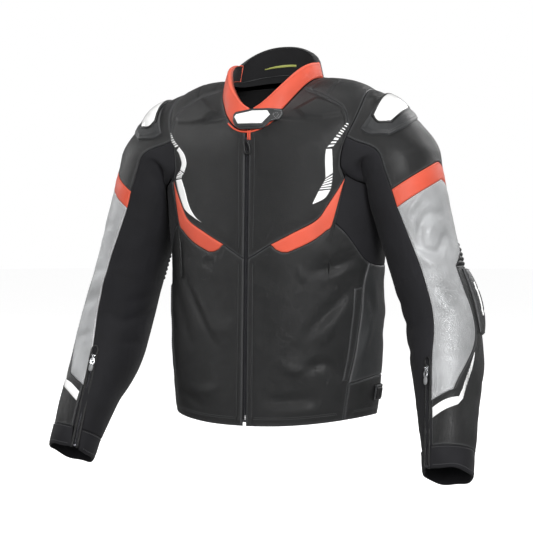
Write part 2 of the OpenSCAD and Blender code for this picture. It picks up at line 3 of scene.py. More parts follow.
import bpy
import numpy as np
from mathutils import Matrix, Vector


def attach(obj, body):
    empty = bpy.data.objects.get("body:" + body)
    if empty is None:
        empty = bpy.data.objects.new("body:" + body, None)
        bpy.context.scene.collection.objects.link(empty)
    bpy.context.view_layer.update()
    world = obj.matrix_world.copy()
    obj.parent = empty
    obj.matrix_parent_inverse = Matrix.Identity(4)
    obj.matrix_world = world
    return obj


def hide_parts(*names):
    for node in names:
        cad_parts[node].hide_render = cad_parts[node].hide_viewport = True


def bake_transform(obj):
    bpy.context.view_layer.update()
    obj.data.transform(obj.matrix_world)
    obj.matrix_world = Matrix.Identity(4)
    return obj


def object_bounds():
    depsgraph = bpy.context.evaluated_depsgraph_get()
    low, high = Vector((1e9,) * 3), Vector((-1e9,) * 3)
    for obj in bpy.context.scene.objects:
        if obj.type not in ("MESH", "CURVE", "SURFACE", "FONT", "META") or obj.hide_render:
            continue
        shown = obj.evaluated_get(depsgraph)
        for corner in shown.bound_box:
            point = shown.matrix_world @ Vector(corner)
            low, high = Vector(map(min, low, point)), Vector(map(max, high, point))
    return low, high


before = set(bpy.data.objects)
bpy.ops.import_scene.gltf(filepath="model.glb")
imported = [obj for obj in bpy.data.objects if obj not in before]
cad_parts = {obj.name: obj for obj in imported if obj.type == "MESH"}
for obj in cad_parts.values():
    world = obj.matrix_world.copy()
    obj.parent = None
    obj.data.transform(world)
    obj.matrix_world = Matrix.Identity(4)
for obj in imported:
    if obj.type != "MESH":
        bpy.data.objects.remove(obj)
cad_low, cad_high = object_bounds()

# The leather riding jacket's looks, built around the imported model. Lengths are in millimetres, in the
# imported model's frame, and mesh_piece turns every mesh into metres. A surface point is an angle in
# degrees and a ring, station or share, so outlines of panels are lists of such pairs.
MM = 0.001
RANDOM = np.random.default_rng(7)

# ---- the same body and sleeve shape as the CAD ----
# Body rings from hem (0) to neck seam (9): half width, back depth, side z, front z, back z
RINGS = np.array([
    [180, 102, -576, -590, -594], [190, 96, -500, -506, -508], [193, 92, -415, -422, -422],
    [194, 100, -330, -340, -332], [200, 112, -240, -262, -240], [206, 118, -160, -205, -162],
    [208, 116, -88, -165, -98], [198, 104, -38, -140, -42], [144, 76, -8, -118, -6],
    [84, 46, 0, -94, 14]], float)
# Sleeve stations 1 to 9: centre, outward direction, radius outward, inward, forward, backward
SLEEVE = np.array([
    [212, -6, -118, 0.80, 0.00, 0.60, 80, 62, 84, 86],
    [236, -10, -190, 0.95, 0.00, 0.30, 70, 64, 78, 82],
    [260, -14, -262, 0.96, 0.00, 0.27, 64, 60, 70, 74],
    [286, -16, -338, 0.97, 0.02, 0.22, 60, 60, 66, 72],
    [306, -18, -405, 0.97, 0.03, 0.20, 62, 60, 64, 74],
    [321, -30, -478, 0.97, 0.03, 0.18, 62, 60, 66, 70],
    [335, -66, -550, 0.97, 0.02, 0.18, 52, 50, 54, 56],
    [347, -96, -615, 0.97, 0.02, 0.18, 44, 44, 46, 48],
    [355, -116, -672, 0.97, 0.02, 0.18, 39, 39, 41, 42]], float)
SQUARE_OFF = 0.92
NECK_Z, NECK_Y, FRONT_LEAN = -94, 125, 12 / 496
ARM_U, ARM_FRONT_U, ARM_BACK_U, ARM_TOP, ARM_LOW, ARM_MID = 92, 45.5, 40, 7.45, 4.6, 5.55
MERGE_T = 1.5
SIDE_GAP = 3.5


def spline(rows, t):
    rows, t = np.asarray(rows, float), np.asarray(t, float)
    n = len(rows)
    i = np.clip(np.floor(t).astype(int), 0, n - 2)
    k = (t - i)[..., None]
    b, c = rows[i], rows[i + 1]
    a = np.where((i > 0)[..., None], rows[np.maximum(i - 1, 0)], 2 * b - c)
    d = np.where((i < n - 2)[..., None], rows[np.minimum(i + 2, n - 1)], 2 * c - b)
    return 0.5 * (2 * b + (c - a) * k + (2 * a - 5 * b + 4 * c - d) * k**2 + (3 * b - a - 3 * c + d) * k**3)


def unit(v):
    return v / np.maximum(np.linalg.norm(v, axis=-1, keepdims=True), 1e-9)


def squared(x):
    return np.sign(x) * np.abs(x) ** SQUARE_OFF


def front_y(z):
    return NECK_Y + FRONT_LEAN * (NECK_Z - z)


def torso(u, v):
    """Point on the body at angle u (0 front, 90 wearer's left, 180 back) and ring v."""
    a, back, side_z, front_z, back_z = np.moveaxis(spline(RINGS, v), -1, 0)
    front = front_y(spline(RINGS[:, 3:4], v)[..., 0])
    s, c = np.sin(np.radians(u)), np.cos(np.radians(u))
    y = -np.where(c > 0, front, back) * squared(c)
    z = side_z + np.where(c > 0, front_z - side_z, back_z - side_z) * c * c
    return np.stack([a * squared(s), y, z], -1)


def arm_uv(th):
    """Body terms of the armhole seam at angle th (0 top, 90 front, 180 bottom, 270 back)."""
    th = np.radians(np.asarray(th, float))
    s, c = np.sin(th), np.cos(th)
    u = ARM_U - np.where(s > 0, ARM_FRONT_U, ARM_BACK_U) * s
    return np.stack([u, ARM_MID + np.where(c > 0, ARM_TOP - ARM_MID, ARM_MID - ARM_LOW) * c], -1)


def tube(t, th):
    r = spline(SLEEVE, t - 1)
    d = unit(spline(SLEEVE[:, :3], t - 0.98) - spline(SLEEVE[:, :3], t - 1.02))
    o = r[..., 3:6]
    o = unit(o - (o * d).sum(-1, keepdims=True) * d)
    f = np.cross(d, o)
    s, c = np.sin(np.radians(th)), np.cos(np.radians(th))
    out = np.where(c > 0, r[..., 6], r[..., 7]) * c
    fore = np.where(s > 0, r[..., 8], r[..., 9]) * s
    return r[..., :3] + o * out[..., None] + f * fore[..., None]


def side_x(p):
    """How far out the body's side stands at a point's depth and height."""
    depth = np.where(p[..., 1] < 0, front_y(p[..., 2]), np.interp(p[..., 2], RINGS[:, 2], RINGS[:, 1]))
    share = np.clip(np.abs(p[..., 1]) / depth, 0, 1) ** (2 / SQUARE_OFF)
    return np.interp(p[..., 2], RINGS[:, 2], RINGS[:, 0]) * (1 - share) ** (SQUARE_OFF / 2)


def sleeve(t, th):
    """Point on the sleeve, laid against the body's side where it would pass through it."""
    p = free_sleeve(t, th)
    room = side_x(p) + SIDE_GAP
    d = p[..., 0] - room
    soft = (d + np.sqrt(d * d + 4 * SIDE_GAP * SIDE_GAP)) / 2
    out = p.copy()
    out[..., 0] += np.clip(t / 0.25, 0, 1) * (room + soft - p[..., 0])
    return out


def free_sleeve(t, th):
    """Point on the sleeve at station t (0 armhole, 9 cuff), angle th (0 outer, 90 front, 180 inner)."""
    t, th = np.broadcast_arrays(np.asarray(t, float), np.asarray(th, float))
    a = torso(*np.moveaxis(arm_uv(th), -1, 0))
    e = tube(np.full_like(t, MERGE_T), th)
    de = (tube(np.full_like(t, MERGE_T + 0.05), th) - e) / 0.05 * MERGE_T
    k = np.clip(t / MERGE_T, 0, 1)[..., None]
    head = ((2 * k**3 - 3 * k**2 + 1) * a + (k**3 - 2 * k**2 + k) * np.array([70, 0, -12])
            + (3 * k**2 - 2 * k**3) * e + (k**3 - k**2) * de)
    return np.where((t < MERGE_T)[..., None], head, tube(np.maximum(t, 1), th))


def collar(u, w):
    """Point on the collar at angle u and height w (0 seam, 1 top edge)."""
    u, w = np.broadcast_arrays(np.asarray(u, float), np.asarray(w, float))
    s, c = np.sin(np.radians(u)), np.cos(np.radians(u))
    z = 28 + np.where(c > 0, -82 * (1 - np.abs(s) ** 1.35), 33 * np.maximum(-c, 0) ** 1.5)
    top = np.stack([78 * squared(s), -np.where(c > 0, 110, 34) * squared(c), z], -1)
    return torso(u, np.full_like(u, 9)) * (1 - w[..., None]) + top * w[..., None]


SURFACES = {"torso": torso, "sleeve": sleeve, "collar": collar}


def surface(kind, p):
    p = np.asarray(p, float)
    return SURFACES[kind](p[..., 0], p[..., 1])


def u_at(x, v):
    """Body angle at which ring v is x out from the middle of the front."""
    half = spline(RINGS[:, :1], np.asarray(v, float))[..., 0]
    return np.degrees(np.arcsin((x / half) ** (1 / SQUARE_OFF)))


# ---- small mathematics ----
LATTICE = RANDOM.random((32, 32, 32)) * 2 - 1


def noise(p):
    """Smooth noise from about -1 to 1 at points p, one cell per unit."""
    i = np.floor(p).astype(int)
    k = p - i
    k = k * k * (3 - 2 * k)
    out = 0
    for corner in np.ndindex(2, 2, 2):
        j = (i + corner) % 32
        weight = np.prod(np.where(corner, k, 1 - k), axis=-1)
        out = out + weight * LATTICE[j[..., 0], j[..., 1], j[..., 2]]
    return out


def step(x):
    x = np.clip(x, 0, 1)
    return x * x * (3 - 2 * x)


def smooth(points, per=10):
    points = np.asarray(points, float)
    return spline(points, np.linspace(0, len(points) - 1, (len(points) - 1) * per + 1))


def joined(*lines):
    """Lines end to end, each smooth in itself, with a corner where they meet."""
    return np.concatenate([smooth(line) for line in lines])


def lengths(p, axis=0):
    d = np.linalg.norm(np.diff(p, axis=axis), axis=-1)
    start = np.zeros_like(np.take(d, [0], axis=axis))
    return np.concatenate([start, np.cumsum(d, axis=axis)], axis=axis)


def at_lengths(points, at, values=None):
    """Points of a line at given lengths along it, or the values that go with them."""
    values = points if values is None else values
    d = lengths(points)
    return np.stack([np.interp(at, d, values[:, i]) for i in range(values.shape[1])], -1)


def evened(points, pitch):
    """Points every pitch along a 3-D line."""
    total = lengths(points)[-1]
    return at_lengths(points, np.linspace(0, total, max(2, int(round(total / pitch)) + 1)))


# ---- relief: folds, creases and raised pads on the leather ----
FOLD_REACH = 2.5       # how many widths from its line a fold still counts
CHUNK = 4000           # points measured at a time


def fold(kind, side, points, width, depth, taper=True):
    """A ridge (depth over 0) or valley along points of a surface."""
    line = surface(kind, smooth(points)) * (side, 1, 1)
    line = evened(line, max(1.0, width / 3))
    share = np.linspace(0, 1, len(line))
    return line, width, depth * (np.sin(np.pi * share) ** 1.1 if taper else np.ones(len(line)))


def fold_height(p, folds):
    out = np.zeros(p.shape[:-1])
    flat = p.reshape(-1, 3)
    total = out.reshape(-1)
    for line, width, depth in folds:
        low, high = line.min(0) - FOLD_REACH * width, line.max(0) + FOLD_REACH * width
        near = np.flatnonzero(((flat > low) & (flat < high)).all(-1))
        for part in np.array_split(near, len(near) // CHUNK + 1):
            d = np.linalg.norm(flat[part][:, None] - line[None], axis=-1)
            i = d.argmin(1)
            total[part] += depth[i] * np.exp(-((d[np.arange(len(part)), i] / width) ** 2))
    return total.reshape(p.shape[:-1])


def inside_outline(q, outline):
    """Which points q of a surface lie inside an outline, both in surface terms."""
    a, b = outline, np.roll(outline, -1, axis=0)
    x, y = q[..., 0, None], q[..., 1, None]
    crosses = (a[:, 1] > y) != (b[:, 1] > y)
    at = a[:, 0] + (y - a[:, 1]) / np.where(b[:, 1] == a[:, 1], 1e-9, b[:, 1] - a[:, 1]) * (b[:, 0] - a[:, 0])
    return (crosses & (x < at)).sum(-1) % 2 == 1


def raised(q, p, kind, side, outline, height, slope):
    """Height of a pad pushed up inside an outline."""
    outline = np.asarray(outline, float)
    closed = np.concatenate([outline, outline[:1]])
    dense = np.concatenate([np.linspace(a, b, 12)[:-1] for a, b in zip(closed[:-1], closed[1:])])
    line = evened(surface(kind, np.concatenate([dense, dense[:1]])) * (side, 1, 1), 2.5)
    out = np.zeros(p.shape[:-1])
    within = inside_outline(q, outline)
    points = p[within]
    if len(points):
        d = np.concatenate([np.linalg.norm(part[:, None] - line[None], axis=-1).min(1)
                            for part in np.array_split(points, len(points) // CHUNK + 1)])
        out[within] = height * step(d / slope)
    return out


LEFT, RIGHT = 1, -1
# Folds seen on the lower fronts, and soft ones where the back and sides bend
BODY_FOLDS = [
    fold("torso", LEFT, [[68, 3.4], [47, 3.16], [30, 3.05]], 11, -3.0),
    fold("torso", LEFT, [[66, 3.15], [47, 2.98], [33, 2.9]], 10, 1.6),
    fold("torso", LEFT, [[26, 3.25], [27.5, 3.05], [30, 2.85]], 6, 1.4),
    fold("torso", LEFT, [[64, 2.95], [49, 2.41], [35, 1.96], [28, 1.62]], 11, -3.2),
    fold("torso", LEFT, [[60, 2.55], [46, 2.0], [36, 1.6]], 12, 2.2),
    fold("torso", LEFT, [[15, 1.36], [26, 1.1], [37, 1.22]], 8, 1.8),
    fold("torso", LEFT, [[25, 1.0], [42, 1.24], [55, 0.8]], 9, -3.0),
    fold("torso", LEFT, [[6, 0.52], [24, 0.52], [42, 0.5]], 10, -2.6),
    fold("torso", LEFT, [[10, 0.30], [28, 0.30], [46, 0.34]], 9, 1.4),
    fold("torso", LEFT, [[72, 2.9], [77, 2.45], [79, 2.0]], 10, -2.2),
    fold("torso", LEFT, [[80, 2.2], [74, 1.7], [66, 1.2]], 9, 2.0),
    fold("torso", RIGHT, [[46, 3.3], [38, 2.8], [21, 1.9], [14, 1.5]], 9, -3.0),
    fold("torso", RIGHT, [[34, 2.9], [24, 2.3], [17, 1.75]], 7, 1.5),
    fold("torso", RIGHT, [[58, 3.0], [44, 2.2], [34, 1.4]], 12, -2.4),
    fold("torso", RIGHT, [[24, 3.32], [16, 3.26]], 8, -1.8),
    fold("torso", RIGHT, [[50, 0.62], [36, 0.48], [22, 0.26]], 9, -2.6),
    fold("torso", RIGHT, [[40, 0.75], [28, 0.66], [12, 0.7]], 9, 1.4)]
for s in (LEFT, RIGHT):
    BODY_FOLDS += [
        fold("torso", s, [[100, 3.0], [112, 2.6], [128, 2.5]], 11, -2.6),
        fold("torso", s, [[96, 2.4], [112, 2.1], [134, 2.1]], 12, 2.2),
        fold("torso", s, [[92, 1.9], [108, 1.7], [130, 1.8], [150, 1.75]], 10, -2.6),
        fold("torso", s, [[150, 3.4], [134, 2.9], [124, 2.7]], 10, -2.0),
        fold("torso", s, [[176, 1.3], [150, 1.1], [122, 1.25]], 12, -2.2),
        fold("torso", s, [[140, 6.6], [142, 5.9], [150, 5.2]], 11, -2.2)]


CALM_Z, CALM_OVER = -180, 140     # above this height the body is smoother, over this distance
ZIP_HALF, ZIP_CALM = 5, 26        # the leather lies flat beside the zip and loosens over this distance


def body_relief(p):
    """Soft unevenness and folds of the body, in millimetres."""
    low = 0.45 + 0.55 * step((CALM_Z - p[..., 2]) / CALM_OVER)
    soft = 1.5 * noise(p / 80) + 0.7 * noise(p / 33 + 5) + 0.22 * noise(p / 13 + 3)
    by_zip = step((np.abs(p[..., 0]) - ZIP_HALF) / ZIP_CALM)
    by_zip = np.where(p[..., 1] > 0, 1, by_zip)
    return (1.25 * soft * low + 1.2 * fold_height(p, BODY_FOLDS)) * by_zip


def sleeve_folds(side):
    own = [
        fold("sleeve", side, [[2.86, 24], [2.84, 44], [3.12, 62], [3.5, 66], [3.62, 46], [3.38, 28]], 8,
             -3.6, False),
        fold("sleeve", side, [[2.75, 72], [2.58, 60], [2.37, 41]], 6, 2.4),
        fold("sleeve", side, [[3.5, 80], [3.75, 66], [3.9, 44]], 9, 3.0),
        fold("sleeve", side, [[3.0, 34], [3.2, 48], [3.3, 40]], 8, 1.8),
        fold("sleeve", side, [[4.2, 76], [4.5, 46], [4.85, 20]], 10, -3.2),
        fold("sleeve", side, [[4.6, 78], [5.0, 50], [5.3, 26]], 10, 2.0),
    ] if side == LEFT else [
        fold("sleeve", side, [[3.9, 84], [4.1, 60], [4.4, 30]], 10, -2.8),
        fold("sleeve", side, [[4.5, 86], [4.9, 60], [5.25, 30]], 11, -3.2),
        fold("sleeve", side, [[3.0, 80], [3.1, 50], [3.5, 20]], 9, -1.8)]
    return own + [
        fold("sleeve", side, [[5.6, 88], [5.9, 66], [6.0, 40]], 8, -1.4),
        fold("sleeve", side, [[4.6, 210], [4.9, 170], [5.2, 130], [5.0, 96]], 9, -2.6),
        fold("sleeve", side, [[4.2, 196], [4.4, 160], [4.7, 120]], 9, -1.8),
        fold("sleeve", side, [[5.5, 200], [5.7, 160], [5.8, 124]], 9, -2.0),
        fold("sleeve", side, [[1.5, 100], [1.75, 128], [2.2, 150]], 7, -2.6),
        fold("sleeve", side, [[1.2, 108], [1.3, 130], [1.7, 156]], 7, 1.8),
        fold("sleeve", side, [[0.9, 118], [1.0, 140], [1.3, 170]], 7, -2.4),
        fold("sleeve", side, [[1.0, 62], [1.5, 44], [2.0, 36]], 14, -1.6),
        fold("sleeve", side, [[1.0, 20], [1.4, 8], [1.9, 12]], 14, -1.2),
        fold("sleeve", side, [[6.3, -120], [6.5, -60], [6.4, 0]], 9, -1.8),
        fold("sleeve", side, [[7.2, -130], [7.4, -70], [7.3, -10]], 8, -1.6)]


SLEEVE_FOLDS = {s: sleeve_folds(s) for s in (LEFT, RIGHT)}


def sleeve_relief(side):
    """Soft unevenness and folds of a sleeve, in millimetres."""
    return lambda p: (1.3 * noise(p / 62 + 9) + 0.6 * noise(p / 27 + 2)
                      + fold_height(p, SLEEVE_FOLDS[side]))


def knit_relief(side):
    """Soft folds, with the fine pulled creases of stretch cloth."""
    def height(p):
        pulled = 1 - np.abs(noise(p / (16, 16, 44) + 3))
        return sleeve_relief(side)(p) + 0.5 * pulled**6 - 0.2
    return height


# ---- materials ----
def tree_of(name):
    material = bpy.data.materials.new(name)
    material.use_nodes = True
    nodes, links = material.node_tree.nodes, material.node_tree.links
    return material, nodes, links, nodes["Principled BSDF"]


def attribute(nodes, name):
    found = nodes.new("ShaderNodeAttribute")
    found.attribute_name = name
    return found


def texture(nodes, links, kind, vector, scale, **settings):
    found = nodes.new(kind)
    for key, value in settings.items():
        if key in found.inputs:
            found.inputs[key].default_value = value
        else:
            setattr(found, key, value)
    found.inputs["Scale"].default_value = scale
    links.new(vector, found.inputs["Vector"])
    return found


def ramp(nodes, links, factor, low, high, start=0.0, end=1.0):
    """A colour or grey that runs from low to high as factor runs from start to end."""
    found = nodes.new("ShaderNodeMapRange")
    found.data_type = "FLOAT"
    found.inputs["From Min"].default_value = start
    found.inputs["From Max"].default_value = end
    links.new(factor, found.inputs["Value"])
    if isinstance(low, (int, float)):
        found.inputs["To Min"].default_value = low
        found.inputs["To Max"].default_value = high
        return found.outputs["Result"]
    mix = nodes.new("ShaderNodeMix")
    mix.data_type = "RGBA"
    mix.inputs["A"].default_value = (*low, 1)
    mix.inputs["B"].default_value = (*high, 1)
    links.new(found.outputs["Result"], mix.inputs["Factor"])
    return mix.outputs["Result"]


def combined(nodes, links, kind, a, b):
    found = nodes.new("ShaderNodeMath")
    found.operation = kind
    for socket, value in zip(found.inputs, (a, b)):
        if isinstance(value, (int, float)):
            socket.default_value = value
        else:
            links.new(value, socket)
    return found.outputs[0]


def blended(nodes, links, factor, a, b):
    mix = nodes.new("ShaderNodeMix")
    mix.data_type = "RGBA"
    links.new(factor, mix.inputs["Factor"])
    for name, value in (("A", a), ("B", b)):
        if isinstance(value, tuple):
            mix.inputs[name].default_value = (*value, 1)
        else:
            links.new(value, mix.inputs[name])
    return mix.outputs["Result"]


def bumped(nodes, links, shader, height, distance, strength=1.0):
    bump = nodes.new("ShaderNodeBump")
    bump.inputs["Strength"].default_value = strength
    bump.inputs["Distance"].default_value = distance
    links.new(height, bump.inputs["Height"])
    links.new(bump.outputs["Normal"], shader.inputs["Normal"])


def leather(name, colour, worn, rough=(0.42, 0.6), grain=720, depth=0.00022, metallic=0.0, coat=0.0,
            sheen=0.0, dark=0.78):
    """Grained leather: pebbles with creases between them, uneven colour, and wear along the seams."""
    material, nodes, links, shader = tree_of(name)
    rest = attribute(nodes, "rest").outputs["Vector"]
    seam = attribute(nodes, "seam").outputs["Fac"]
    pebbles = texture(nodes, links, "ShaderNodeTexVoronoi", rest, grain, feature="DISTANCE_TO_EDGE")
    creases = texture(nodes, links, "ShaderNodeTexNoise", rest, grain / 5, Detail=5.0, Roughness=0.6)
    patches = texture(nodes, links, "ShaderNodeTexNoise", rest, 14, Detail=4.0)
    fine = texture(nodes, links, "ShaderNodeTexNoise", rest, 260, Detail=3.0)
    darker = tuple(dark * c for c in colour)
    base = ramp(nodes, links, patches.outputs["Fac"], darker, colour, 0.3, 0.7)
    rubbed = combined(nodes, links, "MULTIPLY", seam, fine.outputs["Fac"])
    links.new(blended(nodes, links, rubbed, base, worn), shader.inputs["Base Color"])
    links.new(ramp(nodes, links, patches.outputs["Fac"], rough[0], rough[1], 0.3, 0.7),
              shader.inputs["Roughness"])
    edges = ramp(nodes, links, pebbles.outputs["Distance"], 0.0, 1.0, 0.0, 0.16)
    height = combined(nodes, links, "ADD", edges, creases.outputs["Fac"])
    bumped(nodes, links, shader, height, depth, 0.7)
    shader.inputs["Metallic"].default_value = metallic
    shader.inputs["Coat Weight"].default_value = coat
    shader.inputs["Coat Roughness"].default_value = 0.35
    shader.inputs["Sheen Weight"].default_value = sheen
    shader.inputs["Sheen Roughness"].default_value = 0.5
    return material


def cloth(name, colour, lighter, thread=0.0009, rough=0.82, sheen=0.25):
    """Woven or knitted cloth whose threads follow the panel."""
    material, nodes, links, shader = tree_of(name)
    along = attribute(nodes, "cut").outputs["Vector"]
    rest = attribute(nodes, "rest").outputs["Vector"]
    waves = []
    for direction, phase in (("X", 0.0), ("Y", 1.6)):
        wave = texture(nodes, links, "ShaderNodeTexWave", along, 1 / thread / 3.2, bands_direction=direction)
        wave.inputs["Distortion"].default_value = 0.6
        wave.inputs["Phase Offset"].default_value = phase
        waves.append(wave.outputs["Fac"])
    weave = combined(nodes, links, "MAXIMUM", *waves)
    patches = texture(nodes, links, "ShaderNodeTexNoise", rest, 30, Detail=4.0)
    tone = combined(nodes, links, "MULTIPLY", weave, patches.outputs["Fac"])
    links.new(ramp(nodes, links, tone, colour, lighter, 0.0, 0.8), shader.inputs["Base Color"])
    bumped(nodes, links, shader, weave, thread / 4, 0.5)
    shader.inputs["Roughness"].default_value = rough
    shader.inputs["Sheen Weight"].default_value = sheen
    shader.inputs["Sheen Roughness"].default_value = 0.4
    return material


def moulded(name, colour, rough=(0.2, 0.3), coat=0.0, metallic=0.0, depth=0.00005, painted_light_glow=0.0):
    """Moulded, printed or cast surface: faint unevenness and fine scratches, and painted light from emission
    where a glow is given.
    """
    material, nodes, links, shader = tree_of(name)
    rest = attribute(nodes, "rest").outputs["Vector"]
    haze = texture(nodes, links, "ShaderNodeTexNoise", rest, 90, Detail=5.0)
    scratches = texture(nodes, links, "ShaderNodeTexNoise", rest, 900, Detail=2.0)
    dull = tuple(0.86 * c for c in colour)
    links.new(ramp(nodes, links, haze.outputs["Fac"], dull, colour, 0.3, 0.6), shader.inputs["Base Color"])
    links.new(ramp(nodes, links, haze.outputs["Fac"], rough[1], rough[0], 0.3, 0.7),
              shader.inputs["Roughness"])
    bumped(nodes, links, shader, scratches.outputs["Fac"], depth, 0.4)
    shader.inputs["Metallic"].default_value = metallic
    shader.inputs["Coat Weight"].default_value = coat
    shader.inputs["Coat Roughness"].default_value = 0.08
    # Painted light: emission at the glow strength makes the surface glow though it is no lamp.
    shader.inputs["Emission Color"].default_value = (1, 1, 1, 1)
    shader.inputs["Emission Strength"].default_value = painted_light_glow
    return material


BLACK = leather("black_leather", (0.0075, 0.0078, 0.0082), (0.07, 0.072, 0.075), (0.34, 0.5), depth=0.0004)
# Side panels: black leather made grey and partly metallic, a painted reflection standing in for the grey
# sheen on the black sides.
BLACK_WITH_PAINTED_REFLECTION = leather("grey_leather", (0.05, 0.052, 0.054), (0.12, 0.12, 0.122), (0.34, 0.48), metallic=0.35)
RIBBED = leather("accordion_leather", (0.007, 0.0075, 0.008), (0.03, 0.03, 0.032), (0.46, 0.6))
RED = leather("red_leather", (0.9, 0.115, 0.055), (0.95, 0.25, 0.17), (0.4, 0.55))
SILVER = leather("silver_leather", (0.62, 0.63, 0.64), (0.85, 0.85, 0.86), (0.44, 0.58), grain=420,
                 depth=0.0006, metallic=0.6,
                 dark=0.62)
BEZEL = leather("bezel_leather", (0.022, 0.0235, 0.025), (0.07, 0.07, 0.073), (0.34, 0.46), coat=0.1)
STRETCH = cloth("stretch_cloth", (0.0028, 0.0027, 0.004), (0.0085, 0.0083, 0.012), sheen=0.05)
LINING = cloth("lining_mesh", (0.003, 0.003, 0.0035), (0.013, 0.013, 0.015), 0.0022, 0.9, 0.1)
TAPE = cloth("zip_tape", (0.008, 0.008, 0.009), (0.03, 0.03, 0.033), 0.0008)
HANGER = cloth("hanger_tape", (0.30, 0.33, 0.06), (0.5, 0.53, 0.16), 0.0007)
# The print and the cup keep their own white and get a painted glow on top: emission, though they are no
# lamps.
PRINT = moulded("white_print", (0.86, 0.86, 0.85), (0.32, 0.42), painted_light_glow=0.22)
CUP = moulded("white_cup", (0.88, 0.88, 0.87), (0.1, 0.18), coat=0.6, depth=0.00002, painted_light_glow=0.12)
FOAM = moulded("armour_foam", (0.03, 0.035, 0.05), (0.7, 0.85), depth=0.0004)
RUBBER = moulded("black_rubber", (0.006, 0.006, 0.0065), (0.4, 0.5))
DARK_METAL = moulded("dark_metal", (0.10, 0.10, 0.11), (0.28, 0.4), metallic=1.0)
BRIGHT_METAL = moulded("bright_metal", (0.62, 0.63, 0.65), (0.18, 0.3), metallic=1.0)
GRIP = moulded("grip_plastic", (0.26, 0.265, 0.27), (0.3, 0.42))
BLACK_THREAD = moulded("black_thread", (0.1, 0.102, 0.105), (0.5, 0.6))
RED_THREAD = moulded("red_thread", (0.62, 0.09, 0.05), (0.5, 0.6))
GREY_THREAD = moulded("grey_thread", (0.36, 0.36, 0.37), (0.5, 0.6))


# ---- meshes ----
def mesh_piece(name, points, faces, material, cut=None, seam=None):
    """A mesh from points in millimetres and an array of four-cornered faces."""
    mesh = bpy.data.meshes.new(name)
    faces = np.asarray(faces, np.int32)
    points = np.asarray(points, float) * MM
    mesh.vertices.add(len(points))
    mesh.vertices.foreach_set("co", points.astype(np.float32).ravel())
    mesh.loops.add(faces.size)
    mesh.loops.foreach_set("vertex_index", faces.ravel())
    mesh.polygons.add(len(faces))
    mesh.polygons.foreach_set("loop_start", np.arange(len(faces), dtype=np.int32) * 4)
    mesh.update(calc_edges=True)
    mesh.polygons.foreach_set("use_smooth", np.ones(len(faces), bool))
    flat = points if cut is None else np.c_[cut * MM, np.zeros(len(points))]
    for attribute_name, values in (("rest", points), ("cut", flat)):
        made = mesh.attributes.new(attribute_name, "FLOAT_VECTOR", "POINT")
        made.data.foreach_set("vector", values.astype(np.float32).ravel())
    worn = np.zeros(len(points)) if seam is None else seam
    mesh.attributes.new("seam", "FLOAT", "POINT").data.foreach_set("value", worn.astype(np.float32))
    mesh.materials.append(material)
    mesh.validate()
    piece = bpy.data.objects.new(name, mesh)
    bpy.context.scene.collection.objects.link(piece)
    return piece


def grid_faces(rows, columns, start=0, flip=False):
    """Faces of a grid of points, its rows of columns points each."""
    i = np.arange(rows * columns).reshape(rows, columns) + start
    faces = np.stack([i[:-1, :-1], i[:-1, 1:], i[1:, 1:], i[1:, :-1]], -1).reshape(-1, 4)
    return faces[:, ::-1] if flip else faces


def wall_faces(outer, inner):
    """Faces between two closed loops of point numbers, or between two stacks of loops."""
    return np.stack([outer, inner, np.roll(inner, -1, -1), np.roll(outer, -1, -1)], -1).reshape(-1, 4)


def border(rows, columns):
    """The numbers of a grid's outer points, in order round it."""
    i = np.arange(rows * columns).reshape(rows, columns)
    return np.concatenate([i[0, :-1], i[:-1, -1], i[-1, :0:-1], i[:0:-1, 0]])


def shell_faces(rows, columns, flip):
    """Faces of a closed shell: a grid, the same grid behind it, and a wall round both."""
    n = rows * columns
    loop = border(rows, columns)
    wall = wall_faces(loop, loop + n)
    return np.concatenate([grid_faces(rows, columns, 0, flip), grid_faces(rows, columns, n, not flip),
                           wall[:, ::-1] if flip else wall])


def swept(path, radius, sides=10, closed=False, flat=1.0, up=(0, 0, 1)):
    """Points and faces of a round or flattened tube along a path; radius may vary along it."""
    path = np.asarray(path, float)
    n = len(path)
    radius = np.broadcast_to(radius, n)
    if closed:
        along = unit(np.roll(path, -1, axis=0) - np.roll(path, 1, axis=0))
    else:
        along = unit(np.gradient(path, axis=0))
    side = np.cross(along, np.asarray(up, float))
    side = unit(np.where(np.linalg.norm(side, axis=-1, keepdims=True) < 1e-3,
                         np.cross(along, (1.0, 0.1, 0)), side))
    top = np.cross(side, along)
    a = 2 * np.pi * np.arange(sides) / sides
    ring = side[:, None] * np.cos(a)[:, None] + top[:, None] * np.sin(a)[:, None] * flat
    points = (path[:, None] + ring * radius[:, None, None]).reshape(-1, 3)
    i = np.arange(n * sides).reshape(n, sides)
    j = np.roll(i, -1, axis=1)
    if closed:
        k = np.roll(i, -1, axis=0), np.roll(j, -1, axis=0)
        faces = np.stack([i, j, k[1], k[0]], -1).reshape(-1, 4)
        return points, faces
    faces = np.stack([i[:-1], j[:-1], j[1:], i[1:]], -1).reshape(-1, 4)
    half = sides // 2
    for row, flip in ((i[0], True), (i[-1], False)):
        cap = np.stack([row[0:half - 1], row[1:half], row[::-1][1:half], row[::-1][0:half - 1]], -1)
        faces = np.concatenate([faces, cap[:, ::-1] if flip else cap])
    return points, faces


def merged(parts):
    points, faces, n = [], [], 0
    for p, f in parts:
        points.append(p)
        faces.append(np.asarray(f) + n)
        n += len(p)
    return np.concatenate(points), np.concatenate(faces)


